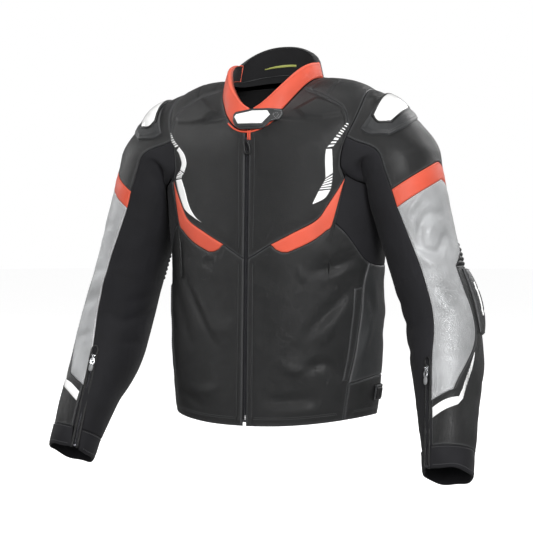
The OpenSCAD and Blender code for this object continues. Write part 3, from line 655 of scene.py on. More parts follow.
def stitches(path, normals, pitch=3.6, length=2.7, radius=0.42, lift=0.1):
    """One row of thread: each stitch a short bowed bead that dips in at both ends."""
    total = lengths(path)[-1]
    n = int(total / pitch)
    if n < 1:
        return []
    middle = (np.arange(n) + 0.5) * total / n
    out = unit(at_lengths(path, middle, normals))
    share = np.array([-0.5, -0.3, 0, 0.3, 0.5])
    size = np.array([0.3, 0.85, 1, 0.85, 0.3])
    dip = np.array([-1.1, 0.1, 0.5, 0.1, -1.1]) * radius + lift
    along = np.stack([at_lengths(path, np.clip(middle + s * length, 0, total)) for s in share], 1)
    along = along + out[:, None] * dip[:, None]
    direction = unit(along[:, -1] - along[:, 0])
    side = np.cross(direction, out)
    ring = [(1, 0), (0, 1), (-1, 0), (0, -1)]
    points = np.stack([along + (side[:, None] * a + out[:, None] * b) * (radius * size)[:, None]
                       for a, b in ring], 2)
    i = np.arange(n * 20).reshape(n, 5, 4)
    j = np.roll(i, -1, axis=2)
    faces = np.stack([i[:, :-1], j[:, :-1], j[:, 1:], i[:, 1:]], -1).reshape(-1, 4)
    ends = np.concatenate([i[:, 0, ::-1], i[:, -1]])
    return [(points.reshape(-1, 3), np.concatenate([faces, ends]))]


# ---- panels ----
def shares(length, cell):
    """Where the rows of a panel lie across it: close together by its seams, where the leather rolls in."""
    edge = np.array([0, 0.7, 1.6, 3.0, 5.0]) if length > 18 else length * np.array([0, 0.05, 0.12, 0.22])
    n = max(2, int(round((length - 2 * edge[-1]) / cell)))
    middle = np.linspace(edge[-1], length - edge[-1], n + 1)[1:-1]
    return np.concatenate([edge, middle, length - edge[::-1]]) / length


def run_of(kind, line):
    return lengths(surface(kind, line))


def along(kind, line, share):
    d = run_of(kind, line)
    return np.stack([np.interp(share * d[-1], d, line[:, i]) for i in (0, 1)], -1)


def inside(first, last, low, high, s, t):
    s, t = s[None, :, None], t[:, None, None]
    return ((1 - t) * first[None] + t * last[None] + (1 - s) * low[:, None] + s * high[:, None]
            - (1 - s) * (1 - t) * first[0] - s * (1 - t) * first[-1]
            - (1 - s) * t * last[0] - s * t * last[-1])


ROLL_WIDTH, PUFF_WIDTH, WEAR_WIDTH = 1.2, 11, 3.5     # how far in from a seam each one reaches


class Panel:
    """A closed panel between four edges of a surface, its face shaped by relief, puff and rolled seams.
    Edges are lines of surface terms, or lists of points that a smooth line runs through. First and last
    run across, and low and high join their ends. Outer and inner are how far the face and the back stand
    off the surface. Edges named in flat meet the next panel without a seam."""

    def __init__(self, name, side, kind, first, last, low, high, material, slot, cell=3.2, outer=0.0,
                 inner=-2.4, roll=1.1, puff=0.9, relief=None, extra=None, pull=0.3, wear=1.0, flat=()):
        first, last, low, high = (smooth(line) if isinstance(line, list) else np.asarray(line, float)
                                  for line in (first, last, low, high))
        width = max(run_of(kind, first)[-1], run_of(kind, last)[-1])
        height = max(run_of(kind, low)[-1], run_of(kind, high)[-1])
        s, t = shares(width, cell), shares(height, cell)
        self.q = inside(along(kind, first, s), along(kind, last, s), along(kind, low, t),
                        along(kind, high, t), s, t)
        raw = surface(kind, self.q) * (side, 1, 1)
        self.across, self.up = lengths(raw, 1), lengths(raw, 0)
        right, top = self.across[:, -1:] - self.across, self.up[-1:] - self.up
        sides = {"low": self.across, "high": right, "first": self.up, "last": top}
        self.edge = np.minimum.reduce([d for edge, d in sides.items() if edge not in flat])
        normal = unit(np.cross(np.gradient(raw, axis=1), np.gradient(raw, axis=0)) * side)
        rise = outer - roll * np.exp(-((self.edge / ROLL_WIDTH) ** 2))
        rise = rise + puff * (1 - np.exp(-((self.edge / PUFF_WIDTH) ** 2)))
        if relief is not None:
            rise = rise + relief(raw)
        if extra is not None:
            rise = rise + extra(self.q, raw, self)
        face = raw + normal * rise[..., None]
        back = raw + normal * (np.minimum(rise, outer) - outer + inner)[..., None]
        for grid in (face, back):
            grid[:, 0] += unit(raw[:, 1] - raw[:, 0]) * pull
            grid[:, -1] += unit(raw[:, -2] - raw[:, -1]) * pull
            if "first" not in flat:
                grid[0] += unit(raw[1] - raw[0]) * pull
            if "last" not in flat:
                grid[-1] += unit(raw[-2] - raw[-1]) * pull
        faces = shell_faces(*rise.shape, side < 0)
        worn = np.exp(-((self.edge / WEAR_WIDTH) ** 2)).ravel() * wear
        cut = np.stack([self.across, self.up], -1).reshape(-1, 2)
        self.face, self.normal, self.side, self.kind = face, normal, side, kind
        self.object = mesh_piece(name, np.concatenate([face.reshape(-1, 3), back.reshape(-1, 3)]), faces,
                                 material, np.concatenate([cut, cut]), np.concatenate([worn, worn]))
        self.size = (float(self.across[:, -1].mean()) * MM, float(self.up[-1].mean()) * MM)
        self.area = self.face_area()

    def face_area(self):
        a, b = self.face[1:, 1:] - self.face[:-1, :-1], self.face[1:, :-1] - self.face[:-1, 1:]
        return float(np.linalg.norm(np.cross(a, b), axis=-1).sum() / 2) * MM * MM

    def inset(self, edge, distance):
        """The line that runs at a distance inside one edge, with the face's normals along it."""
        face, normal, run = self.face, self.normal, self.across
        if edge in ("first", "last"):
            face, normal, run = face.swapaxes(0, 1), normal.swapaxes(0, 1), self.up.T
        at = run[:, -1] - distance if edge in ("high", "last") else np.full(len(run), distance)
        points, normals = [], []
        for k in range(len(run)):
            points.append([np.interp(at[k], run[k], face[k, :, i]) for i in range(3)])
            normals.append([np.interp(at[k], run[k], normal[k, :, i]) for i in range(3)])
        points, normals = np.array(points), unit(np.array(normals))
        crosswise = self.up if edge in ("low", "high") else self.across.T
        keep = (crosswise[:, 0] > distance) & (crosswise[-1, 0] - crosswise[:, 0] > distance)
        return points[keep], normals[keep]


def thread_piece(name, rows, material):
    parts = [part for path, normals in rows if len(path) > 2 for part in stitches(path, normals)]
    return mesh_piece(name, *merged(parts), material) if parts else None


# ---- how pieces ride ----
NAME = {LEFT: "l", RIGHT: "r"}


def at_shoulder(piece, side):
    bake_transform(piece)


def at_elbow(piece, side):
    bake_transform(piece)


def on_forearm(piece, side):
    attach(piece, "forearm_" + NAME[side])


def on_torso(piece, side):
    """Rides on the jacket's body; the side is not used, but every mover is called the same way."""
    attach(piece, "torso")


def placed(piece, body, slot, *nodes):
    """Puts a finished piece on one body, and hides the CAD nodes that it stands for."""
    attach(piece, body)
    if nodes:
        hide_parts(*nodes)


def sewn(panel, move, nodes, threads=(), thread=BLACK_THREAD, fill=None):
    """Puts a panel on its body, hides the CAD nodes it stands for, and adds its rows of stitches.
    The fill is not used."""
    move(panel.object, panel.side)
    if nodes:
        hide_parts(*nodes)
    rows = [panel.inset(edge, distance) for edge, distances in threads for distance in distances]
    if rows:
        row = thread_piece(panel.object.name + "_stitches", rows, thread)
        if row:
            move(row, panel.side)
    if fill is not None:
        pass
    else:
        across, up = panel.size
        share = panel.area / (across * up)
        width, up = round(across * max(1.0, share) + 0.0005, 4), round(up + 0.0005, 4)
    return panel


HEM_ROWS, TWO_ROWS = (12, 15), (2.8, 5.6)     # distances of stitch rows from an edge


# ---- seam lines in body terms ----
ZIP_SLOT = 3.2
CHEVRON_TOP = smooth([[11.5, 3.68], [23, 3.92], [35, 4.16], [41, 4.50], [50, 5.06]])
CHEVRON_LOW = smooth([[20, 3.50], [32, 3.68], [40, 3.87], [44.6, 4.06], [50, 5.06]])
CHEVRON_TIP = np.array([[11.5, 3.68], [14, 3.57], [17, 3.51], [20, 3.50]])
ARM_FRONT = arm_uv(np.linspace(104, 64, 21))
ARM_OVER = arm_uv(np.linspace(64, -71, 61))
ARM_UNDER = arm_uv(np.linspace(104, 272, 71))
ARM_REAR = arm_uv(np.linspace(272, 289, 10))
YOKE_SEAM = smooth([[52.5, 6.85], [57, 7.4], [58.6, 7.9], [61, 8.45], [63, 9]])
YOKE_SEAM[0] = ARM_FRONT[-1]
GUSSET_POINTS = [[44.6, 4.06], [54, 3.75], [64, 3.40], [74, 3.18], [92, 3.10], [110, 3.16],
                 [118, 3.26], [127, 3.64], [136, 4.0]]
GUSSET_LOW = smooth(GUSSET_POINTS)
SIDE_SEAM = smooth([[59.5, 0.80], [64.3, 1.54], [67.1, 2.15], [69.5, 2.78], [74, 3.18]])
SIDE_BACK_U, BAND_LOW, BAND_HIGH = 118, 4.0, 4.6
BAND_U, NECK_BACK_U = 136, 128                # where the back band and the back's neck edge start


def zip_edge(v0, v1, n=40):
    """The edge beside the zip, from ring v0 to v1."""
    v = np.linspace(v0, v1, n + 1)
    return np.stack([u_at(ZIP_SLOT, v), v], -1)


def across_to(u1, v, n=20):
    """A level line at ring v, from beside the zip to angle u1."""
    start = float(u_at(ZIP_SLOT, v))
    return np.stack([np.linspace(start, u1, n + 1), np.full(n + 1, float(v))], -1)


def other_side(line):
    """A line mirrored to the wearer's right."""
    line = np.asarray(line, float)
    return np.stack([360 - line[:, 0], line[:, 1]], -1)


V_SEAM = 3.38
PLACKET = 9.5                                 # width of the doubled leather beside the zip


def placket(q, p, panel):
    """The doubled edge beside the zip, a little thicker than the rest."""
    past = panel.across - PLACKET
    return 0.7 * (1 - step(past / 1.6)) - 0.5 * np.exp(-(((past - 1) / 1.3) ** 2))


CHEST_PADS = {
    LEFT: [[41, 8.7], [56.3, 8.35], [58.6, 7.25], [52.5, 7.15], [44, 7.5], [38.5, 8.05]],
    RIGHT: [[41, 8.75], [60.5, 8.3], [57.5, 7.64], [60, 6.98], [48.4, 7.05], [41.1, 7.5], [37.3, 8.0]]}


def chest_extra(side):
    """The padded panel below the collar, with a seam on each side of it, and the edge beside the zip."""
    lines = [fold("torso", side, [[61, 8.9], [57.5, 8.2], [55.4, 7.5], [51, 6.8]], 1.3, -0.9, False),
             fold("torso", side, [[30, 8.95], [34, 8.4], [38, 8.0]], 2.2, -1.3, False)]

    def height(q, p, panel):
        return (placket(q, p, panel) + raised(q, p, "torso", side, CHEST_PADS[side], 4.6, 9)
                + fold_height(p, lines))
    return height


def body_panels(side):
    n = NAME[side]
    neck = across_to(63, 9)
    sewn(Panel(f"chest_{n}", side, "torso",
               np.concatenate([[[float(u_at(ZIP_SLOT, V_SEAM)), V_SEAM]], CHEVRON_TOP]), neck,
               zip_edge(V_SEAM, 9), np.concatenate([smooth([[50, 5.06], ARM_FRONT[0]]), ARM_FRONT[1:],
                                                    YOKE_SEAM[1:]]),
               BLACK, "black_leather", cell=2.6, relief=body_relief, extra=chest_extra(side)),
         on_torso, ["chest_panel_" + n],
         [("low", (2.6, 11.5)), ("high", TWO_ROWS), ("first", (2.6,))])
    top = np.concatenate([[[float(u_at(ZIP_SLOT, V_SEAM)), V_SEAM]], CHEVRON_TIP, CHEVRON_LOW[1:41],
                          GUSSET_LOW[1:31]])
    sewn(Panel(f"front_{n}", side, "torso", across_to(58.6, 0), top, zip_edge(0, V_SEAM),
               np.concatenate([[[58.6, 0]], SIDE_SEAM]), BLACK, "black_leather", cell=3.0,
               relief=body_relief, extra=placket),
         on_torso, ["front_panel_" + n], [("low", (2.6, 11.5)), ("high", (2.8,)), ("last", (2.6,)),
                                          ("first", HEM_ROWS)])
    # The side panel's grey colour is painted reflection on black leather.
    sewn(Panel(f"side_{n}", side, "torso", [[59.5, 0.80], [74, 0.87], [89, 0.91], [SIDE_BACK_U, 0.91]],
               GUSSET_LOW[30:61], SIDE_SEAM, [[SIDE_BACK_U, 0.91], [SIDE_BACK_U, 3.26]],
               BLACK_WITH_PAINTED_REFLECTION, "grey_leather", relief=body_relief),
         on_torso, ["side_panel_" + n], [("low", (2.6,)), ("high", (2.8,)), ("first", (2.6,))])
    sewn(Panel(f"hem_side_{n}", side, "torso", [[58.6, 0], [SIDE_BACK_U, 0]],
               [[59.5, 0.80], [74, 0.87], [89, 0.91], [SIDE_BACK_U, 0.91]],
               [[58.6, 0], [59.5, 0.80]], [[SIDE_BACK_U, 0], [SIDE_BACK_U, 0.91]],
               BLACK, "black_leather", relief=body_relief),
         on_torso, ["hem_side_panels"], [("low", (2.6,)), ("high", (2.8,)), ("first", HEM_ROWS),
                                         ("last", (3,))])
    sewn(Panel(f"gusset_{n}", side, "torso", GUSSET_LOW, ARM_UNDER,
               [[44.6, 4.06], [50, 5.06], ARM_UNDER[0]], [[136, 4.0], [136, 4.6], ARM_UNDER[-1]],
               STRETCH, "stretch_fabric", outer=-0.4, puff=0.3, relief=body_relief),
         on_torso, ["underarm_gussets"])
    sewn(Panel(f"yoke_{n}", side, "torso", ARM_OVER, [[63, 9], [96, 9], [128, 9]],
               YOKE_SEAM, [ARM_OVER[-1], [130, 7.5], [128, 9]], BLACK, "black_leather",
               relief=body_relief, extra=yoke_extra(side), puff=1.6),
         on_torso, ["shoulder_yokes"], [("low", TWO_ROWS), ("high", (2.8,)), ("first", (3,))])
    sewn(Panel(f"chevron_{n}", side, "torso", np.concatenate([CHEVRON_TIP, CHEVRON_LOW[1:]]),
               CHEVRON_TOP, [[11.5, 3.68], [11.5, 3.681]], [[50, 5.06], [50, 5.061]],
               RED, "red_leather", cell=2.4, outer=0.3, puff=0.6, relief=body_relief, wear=0.4),
         on_torso, ["red_chevrons"])
    pocket(side)
    waist_strap(side)


def yoke_extra(side):
    """Quilting across the shoulder: lines pressed in between the collar and the sleeve."""
    lines = [fold("torso", side, [[58, 8.1], [80, 8.2], [100, 8.2], [129, 8.1]], 1.8, -1.3, False),
             fold("torso", side, [[60, 8.7], [80, 8.75], [104, 8.7], [128, 8.6]], 1.8, -1.1, False)]
    return lambda q, p, panel: fold_height(p, lines)


def pocket(side):
    n = NAME[side]
    welt = Panel(f"pocket_welt_{n}", side, "torso", [[54.3, 0.86], [58.8, 0.86]],
                 [[61, 2.70], [68.2, 2.72]],
                 [[54.3, 0.86], [57.4, 1.54], [59.4, 2.14], [61, 2.70]],
                 [[58.8, 0.86], [63.2, 1.56], [65.9, 2.14], [68.2, 2.72]],
                 BLACK, "black_leather", cell=2.2, outer=2.0, inner=0.2, puff=0.5, relief=body_relief)
    sewn(welt, on_torso, ["pocket_welts"], [("low", (2,)), ("high", (2,))])
    bag = Panel(f"pocket_bag_{n}", side, "torso", [[26, 0.5], [56, 0.6]], [[30, 2.4], [60, 2.6]],
                [[26, 0.5], [30, 2.4]], [[56, 0.6], [60, 2.6]], LINING, "lining_fabric",
                cell=8, outer=-6.6, inner=-7.6, puff=0)
    sewn(bag, on_torso, ["pocket_bags"])


def waist_strap(side):
    n = NAME[side]
    strap = Panel(f"waist_strap_{n}", side, "torso", [[86, 0.34], [112, 0.34]], [[86, 0.70], [112, 0.70]],
                  [[86, 0.34], [86, 0.70]], [[112, 0.34], [112, 0.70]], BLACK, "black_leather",
                  cell=2.2, outer=3.4, inner=1.2, puff=0.8)

    def ride(piece, side):
        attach(piece, "waist_adjuster_" + n)
    sewn(strap, ride, ["waist_tab_" + n], [("low", (2,)), ("first", (2,)), ("last", (2,))])
    pull = Panel(f"waist_strap_end_{n}", side, "torso", [[87, 0.40], [95, 0.40]], [[87, 0.64], [95, 0.64]],
                 [[87, 0.40], [87, 0.64]], [[95, 0.40], [95, 0.64]], RUBBER, "black_leather",
                 cell=1.6, outer=6.0, inner=3.6, puff=0.5,
                 extra=lambda q, p, panel: 0.7 * np.cos(panel.across / 1.4))
    ride(pull.object, side)


BACK_SIDE = np.concatenate([smooth([[136, BAND_HIGH], ARM_REAR[0]]), ARM_REAR[1:],
                            smooth([ARM_REAR[-1], [130, 7.5], [128, 9]])[1:]])
BACK_LOW_SIDE = smooth([[SIDE_BACK_U, 0], [SIDE_BACK_U, 1.1], [SIDE_BACK_U, 2.2], [SIDE_BACK_U, 3.26],
                        [136, BAND_LOW]])


def level(v, u0, u1, n=20):
    """A line at one height from angle u0 to u1."""
    return np.stack([np.linspace(u0, u1, n + 1), np.full(n + 1, float(v))], -1)


def back_lines(q, p, panel):
    """Shaped seams of the back: a pad between the shoulder blades and two long princess seams."""
    lines = [fold("torso", s, points, 1.5, -1.2, False) for s in (LEFT, RIGHT) for points in (
        [[131, 8.2], [146, 7.5], [150, 6.4], [152, 5.2], [158, 4.62]], [[136, 7.1], [144, 6.3], [149, 5.6]])]
    pad = [[152, 8.3], [208, 8.3], [204, 6.2], [196, 5.1], [164, 5.1], [156, 6.2]]
    return fold_height(p, lines) + raised(q, p, "torso", LEFT, pad, 3.2, 16)


def back_low_lines(q, p, panel):
    """The princess seams carried on below the band."""
    lines = [fold("torso", s, [[150, 3.98], [146, 3.0], [147, 1.8], [150, 0.05]], 1.5, -1.2, False)
             for s in (LEFT, RIGHT)]
    return fold_height(p, lines)


def accordion(ribs, deep):
    """Ribs that run across a panel, evenly spaced up it."""
    return lambda q, p, panel: deep * (np.abs(np.sin(np.pi * ribs * panel.up / panel.up[-1:])) ** 0.7 - 0.5)


def back_panels():
    sewn(Panel("back_upper", LEFT, "torso", level(BAND_HIGH, BAND_U, 360 - BAND_U),
               level(9, NECK_BACK_U, 360 - NECK_BACK_U), BACK_SIDE,
               other_side(BACK_SIDE), BLACK, "black_leather", relief=body_relief, extra=back_lines),
         on_torso, ["back_panel_upper"], [("low", (2.8,)), ("high", (2.8,)), ("first", TWO_ROWS),
                                          ("last", (3,))])
    sewn(Panel("back_accordion", LEFT, "torso", level(BAND_LOW, BAND_U, 360 - BAND_U),
               level(BAND_HIGH, BAND_U, 360 - BAND_U),
               [[BAND_U, BAND_LOW], [BAND_U, BAND_HIGH]],
               [[360 - BAND_U, BAND_LOW], [360 - BAND_U, BAND_HIGH]],
               RIBBED, "accordion_leather", cell=1.5, relief=body_relief, extra=accordion(7, 3.0)),
         on_torso, ["back_stretch_band"])
    sewn(Panel("back_lower", LEFT, "torso", level(0, SIDE_BACK_U, 360 - SIDE_BACK_U),
               level(BAND_LOW, BAND_U, 360 - BAND_U),
               BACK_LOW_SIDE, other_side(BACK_LOW_SIDE), BLACK, "black_leather", relief=body_relief,
               extra=back_low_lines),
         on_torso, ["back_panel_lower"], [("low", (2.8,)), ("high", (2.8,)), ("first", HEM_ROWS),
                                          ("last", TWO_ROWS)])


# ---- printed stripes: thin film that follows the leather ----
FILM_ROWS, FILM_THICK = 7, 0.9


def film(name, side, kind, outline_pairs, material, lift, relief, nodes=()):
    """Strips between pairs of lines, laid lift above a surface."""
    parts = []
    for low, high in outline_pairs:
        low, high = smooth(low, 8), smooth(high, 8)
        n = max(len(low), len(high))
        t = np.linspace(0, 1, n)
        low = np.stack([np.interp(t, np.linspace(0, 1, len(low)), low[:, i]) for i in (0, 1)], -1)
        high = np.stack([np.interp(t, np.linspace(0, 1, len(high)), high[:, i]) for i in (0, 1)], -1)
        s = np.linspace(0, 1, FILM_ROWS)[None, :, None]
        q = low[:, None] * (1 - s) + high[:, None] * s
        raw = surface(kind, q) * (side, 1, 1)
        e = 1e-3
        du = surface(kind, q + (e, 0)) * (side, 1, 1) - raw
        dv = surface(kind, q + (0, e)) * (side, 1, 1) - raw
        normal = unit(np.cross(du, dv) * side) * (1 if kind == "torso" else -1)
        face = raw + normal * (relief(raw) + lift)[..., None]
        back = face - normal * FILM_THICK
        faces = shell_faces(*face.shape[:2], (side < 0) != (kind == "sleeve"))
        parts.append((np.concatenate([face.reshape(-1, 3), back.reshape(-1, 3)]), faces))
    piece = mesh_piece(name, *merged(parts), material)
    if nodes:
        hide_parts(*nodes)
    return piece


def hatched(low, high, bars, slant=0.0, thin=0.5, fade=0.7):
    """Bars across a tapering stripe between two lines, each thinner than the last where they fade."""
    low, high = smooth(low, 20), smooth(high, 20)
    pairs = []

    def at(line, share):
        return line[int(round(min(max(share, 0), 1) * (len(line) - 1)))]
    for i in range(bars):
        a = i / bars
        width = thin / bars * (1 - fade * i / bars)
        pairs.append(([at(low, a), at(low, a + width)], [at(high, a + slant), at(high, a + width + slant)]))
    return pairs


# Each chest stripe: its solid bend, the line of ticks above, the slit part below and the lower leg
STRIPES = {
    LEFT: {"solid": ([[38.4, 5.24], [37.8, 5.82], [38.5, 6.23]], [[42.4, 5.32], [41.95, 5.72], [41.8, 6.12]]),
           "ticks": ([[39.2, 6.28], [44.5, 6.57], [48.6, 6.74], [53.0, 6.86]],
                     [[42.6, 6.2], [46.6, 6.43], [50.0, 6.6], [53.9, 6.8]], 9, 0.0),
           "slits": ([[38.4, 5.21], [36.8, 5.06], [35.1, 4.93]], [[42.4, 5.32], [42.3, 5.12], [41.8, 4.9]],
                     5),
           "leg": ([[35.0, 4.91], [33.4, 4.74], [32.0, 4.58]], [[41.6, 4.87], [38.7, 4.68], [32.4, 4.575]])},
    RIGHT: {"solid": ([[40.2, 5.5], [38.65, 5.77], [41.4, 6.04], [44, 6.1]],
                      [[36.6, 5.49], [34.65, 5.83], [36.7, 6.16], [41.6, 6.32]]),
            "ticks": ([[46.0, 6.16], [51.6, 6.24], [56.3, 6.34], [59.9, 6.47]],
                      [[42.6, 6.33], [47.6, 6.41], [52.3, 6.51], [57.0, 6.57]], 9, 0.0),
            "slits": ([[40.4, 5.47], [43.6, 5.3], [45.4, 5.15]],
                      [[36.6, 5.46], [38.6, 5.36], [39.5, 5.26]], 5),
            "leg": ([[45.4, 5.12], [43.1, 4.87], [39.9, 4.61], [36.4, 4.4], [30, 4.26], [24.6, 4.165]],
                    [[39.4, 5.23], [36.5, 4.95], [33.9, 4.61], [31.6, 4.42], [28, 4.25], [24.4, 4.16]])}}


def chest_stripe(side):
    shape = STRIPES[side]
    low, high, ticks, slant = shape["ticks"]
    pairs = [shape["solid"], *hatched(low, high, ticks, slant, 0.62)]
    low, high, slits = shape["slits"]
    pairs += hatched(low, high, slits, 0.12, 0.68, 0.0) + [shape["leg"]]
    piece = film(f"chest_stripe_{NAME[side]}", side, "torso", pairs, PRINT, 1.5,
                 body_relief, ["chest_stripes"])
    on_torso(piece, side)


# ---- collar ----
COLLAR_JOIN, COLLAR_T = 98, 7     # angle of the side seam, and thickness
COLLAR_REAR = 360 - COLLAR_JOIN
COLLAR_FILL, FOAM_FILL = 0.7, 0.9


def collar_relief(q, p, panel):
    return 0.7 * noise(p / 30) + 0.4 * noise(p / 12)


def collar_panels():
    back = Panel("collar_back", LEFT, "collar", level(-0.05, COLLAR_JOIN, COLLAR_REAR),
                 level(1, COLLAR_JOIN, COLLAR_REAR),
                 [[COLLAR_JOIN, -0.05], [COLLAR_JOIN, 1]], [[COLLAR_REAR, -0.05], [COLLAR_REAR, 1]],
                 BLACK, "black_leather", cell=2.4, inner=-COLLAR_T, roll=2.2, puff=1.2, extra=collar_relief)
    sewn(back, on_torso, ["collar_back"], [("last", (5,)), ("first", (3,))], fill=COLLAR_FILL)
    for side in (LEFT, RIGHT):
        front = Panel(f"collar_front_{NAME[side]}", side, "collar", level(0.02, 2, COLLAR_JOIN),
                      level(1, 2, COLLAR_JOIN),
                      [[2, 0.02], [2, 1]], [[COLLAR_JOIN, 0.02], [COLLAR_JOIN, 1]],
                      RED, "red_leather", cell=2.2, inner=-COLLAR_T, roll=2.2, puff=1.0,
                      extra=collar_relief, wear=0.4)
        sewn(front, on_torso, ["collar_fronts"], [("last", (5,)), ("first", (3,))], RED_THREAD,
             fill=COLLAR_FILL)


def collar_lining():
    """The dark inner face of the collar, carried down behind the neck seam."""
    lining = Panel("collar_lining", LEFT, "collar", level(-0.3, 34, 326, 60), level(0.95, 34, 326, 60),
                   [[34, -0.3], [34, 0.95]], [[326, -0.3], [326, 0.95]], LINING, "lining_fabric",
                   cell=3.0, outer=-COLLAR_T - 0.4, inner=-COLLAR_T - 1.2, roll=0, puff=0)
    sewn(lining, on_torso, [])


def collar_trim():
    line = surface("torso", smooth([[-24, 8.92], [-12, 8.93], [0, 8.93], [16, 8.93], [30, 8.92]]))
    out = unit(line * (1, 1, 0))
    piping = mesh_piece("collar_piping_cord", *swept(evened(line + out * 1.2, 1.5), 1.5, 10), RED)
    placed(piping, "torso", "red_leather", "collar_piping")
    strip = surface("collar", smooth([[164, 0.29], [189, 0.26], [213, 0.29]]))
    inward = -unit(strip * (1, 1, 0))
    path = evened(strip + inward * (COLLAR_T + 2.2), 2)
    loop = mesh_piece("hanger_tape_loop", *swept(path, 2.0, 10, flat=0.3, up=(0, 1, 0)), HANGER)
    placed(loop, "torso", "label_tape", "hanger_loop")


# ---- neck tab ----
TAB_Z, TAB_FRONT, TAB_BOW, TAB_LEAN = -92, 128, 0.0028, 0.2
TAB_CELL = 1.2


def tab_point(x, z, out=0.0):
    x, z = np.broadcast_arrays(np.asarray(x, float), np.asarray(z, float))
    p = np.stack([x, -TAB_FRONT + TAB_BOW * x * x + TAB_LEAN * (z - TAB_Z), z], -1)
    return p - np.array([0, 1, 0]) * out


def tab_plate(name, outline, out, thick, round_off, material, slot, *nodes):
    """A flat, softly rounded plate with a given outline in x and z, bent like the tab."""
    outline = np.asarray(outline, float)
    centre = outline.mean(0)
    closed = np.concatenate([outline, outline[:1]])
    ring = evened(np.c_[closed, np.zeros(len(closed))], TAB_CELL)[:-1, :2]
    steps = np.array([0, 0.03, 0.07, 0.13, 0.22, 0.4, 0.6, 0.8, 0.98])
    rise = out + thick - round_off * np.exp(-steps / 0.06)
    layers = [centre + (ring - centre) * (1 - s) for s in steps]
    points = [tab_point(layers[0][:, 0], layers[0][:, 1], out)]
    points += [tab_point(layer[:, 0], layer[:, 1], r) for layer, r in zip(layers, rise)]
    points.append(tab_point(layers[-1][:, 0], layers[-1][:, 1], out))
    n = len(ring)
    i = np.arange(n * len(points)).reshape(len(points), n)
    faces = np.concatenate([wall_faces(i[:-1], i[1:]), wall_faces(i[-1], i[0])])
    piece = mesh_piece(name, np.concatenate(points), faces, material)
    placed(piece, "neck_tab", slot, *nodes)


def neck_tab():
    tab_plate("neck_tab_base",
              [[-27, -66], [-23, -61.5], [9, -56.5], [37, -56], [59, -57.5], [62, -66], [57, -75],
               [42, -78.5], [32, -89], [24, -91], [-10, -91.5], [-22, -86], [-27, -76]],
              0.2, 2.2, 1.2, BEZEL, "black_leather", "collar_tab")
    tab_plate("neck_tab_rim",
              [[-26, -69.5], [-22, -63.5], [9, -58], [37, -57.6], [43.8, -66], [30, -85], [24, -87.5],
               [-12, -87.5], [-20, -82]],
              1.8, 1.8, 1.2, BEZEL, "black_leather")
    tab_plate("neck_tab_patch",
              [[-23.5, -70], [-20, -65.4], [2, -61.8], [9, -60], [36, -60], [41, -67], [28, -81.5],
               [-15.5, -81.5]],
              3.0, 1.6, 0.8, PRINT, "white_print")
    rows = []
    for corners in ([[46, -59], [58, -60], [60, -66], [56, -73], [43, -76]],
                    [[45, -66], [52, -63], [55, -68], [50, -73], [45, -66]]):
        line = evened(np.c_[np.array(corners, float), np.zeros(len(corners))], 1)
        rows.append((tab_point(line[:, 0], line[:, 1], 2.3), np.tile([0, -1.0, 0], (len(line), 1))))
    threads = thread_piece("neck_tab_stitches", rows, GREY_THREAD)
    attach(threads, "neck_tab")


# ---- zips ----
MAIN_TOP, MAIN_BOTTOM, SINK = -104, -584, 1.7
REST_DROP = 7               # how far below its zip's top a slider rests
PIN_OUT, PIN_DOWN = 5.5, REST_DROP - 3.0


class Way:
    """A zip's own frame: along runs down the zip from its top, out faces the viewer."""

    def __init__(self, top, bottom, out):
        self.top, self.length = top, float(np.linalg.norm(bottom - top))
        self.down = unit(bottom - top)
        self.out = unit(out - (out @ self.down) * self.down)
        self.side = np.cross(self.out, self.down)

    def at(self, x, out, down):
        x, out, down = np.broadcast_arrays(*(np.asarray(v, float)[..., None] for v in (x, out, down)))
        return self.top + self.side * x + self.out * out + self.down * down


def block(way, x, out, down, sx, so, sd, round_off=0.3):
    """A small block with cut corners, in a zip's frame."""
    half = np.array([sx, so, sd]) / 2
    shape = np.array([-1, -1 + round_off, 1 - round_off, 1])
    points, faces = [], []
    n = 0
    for axis in range(3):
        for sign in (-1, 1):
            a, b = [i for i in range(3) if i != axis]
            p = np.zeros((4, 4, 3))
            p[..., a], p[..., b] = shape[:, None], shape[None, :]
            p[..., axis] = sign
            edge = (np.abs(p) > 0.99).sum(-1) > 1
            p[edge] *= 1 - 0.5 * round_off * (np.abs(p[edge]) > 0.99)
            points.append(p.reshape(-1, 3))
            flip = (sign > 0) == (axis == 1)
            faces.append(grid_faces(4, 4, n, flip))
            n += 16
    q = np.concatenate(points) * half
    return way.at(x + q[:, 0], out + q[:, 1], down + q[:, 2]), np.concatenate(faces)


def teeth(name, way, half, pitch, body, node, slot):
    """Two rows of teeth that mesh, with a stop at the bottom end."""
    parts = []
    n = int((way.length - 6) / pitch)
    for i in range(n):
        for sign in (-1, 1):
            down = (i + (0.5 if sign > 0 else 0)) * pitch + 1
            parts.append(block(way, sign * half * 0.42, 0, down, half * 1.15, 2.2, pitch * 0.42))
    parts.append(block(way, 0, 0.1, way.length - 3, half * 3, 2.4, 4.5))
    placed(mesh_piece(name, *merged(parts), DARK_METAL), body, slot, node)


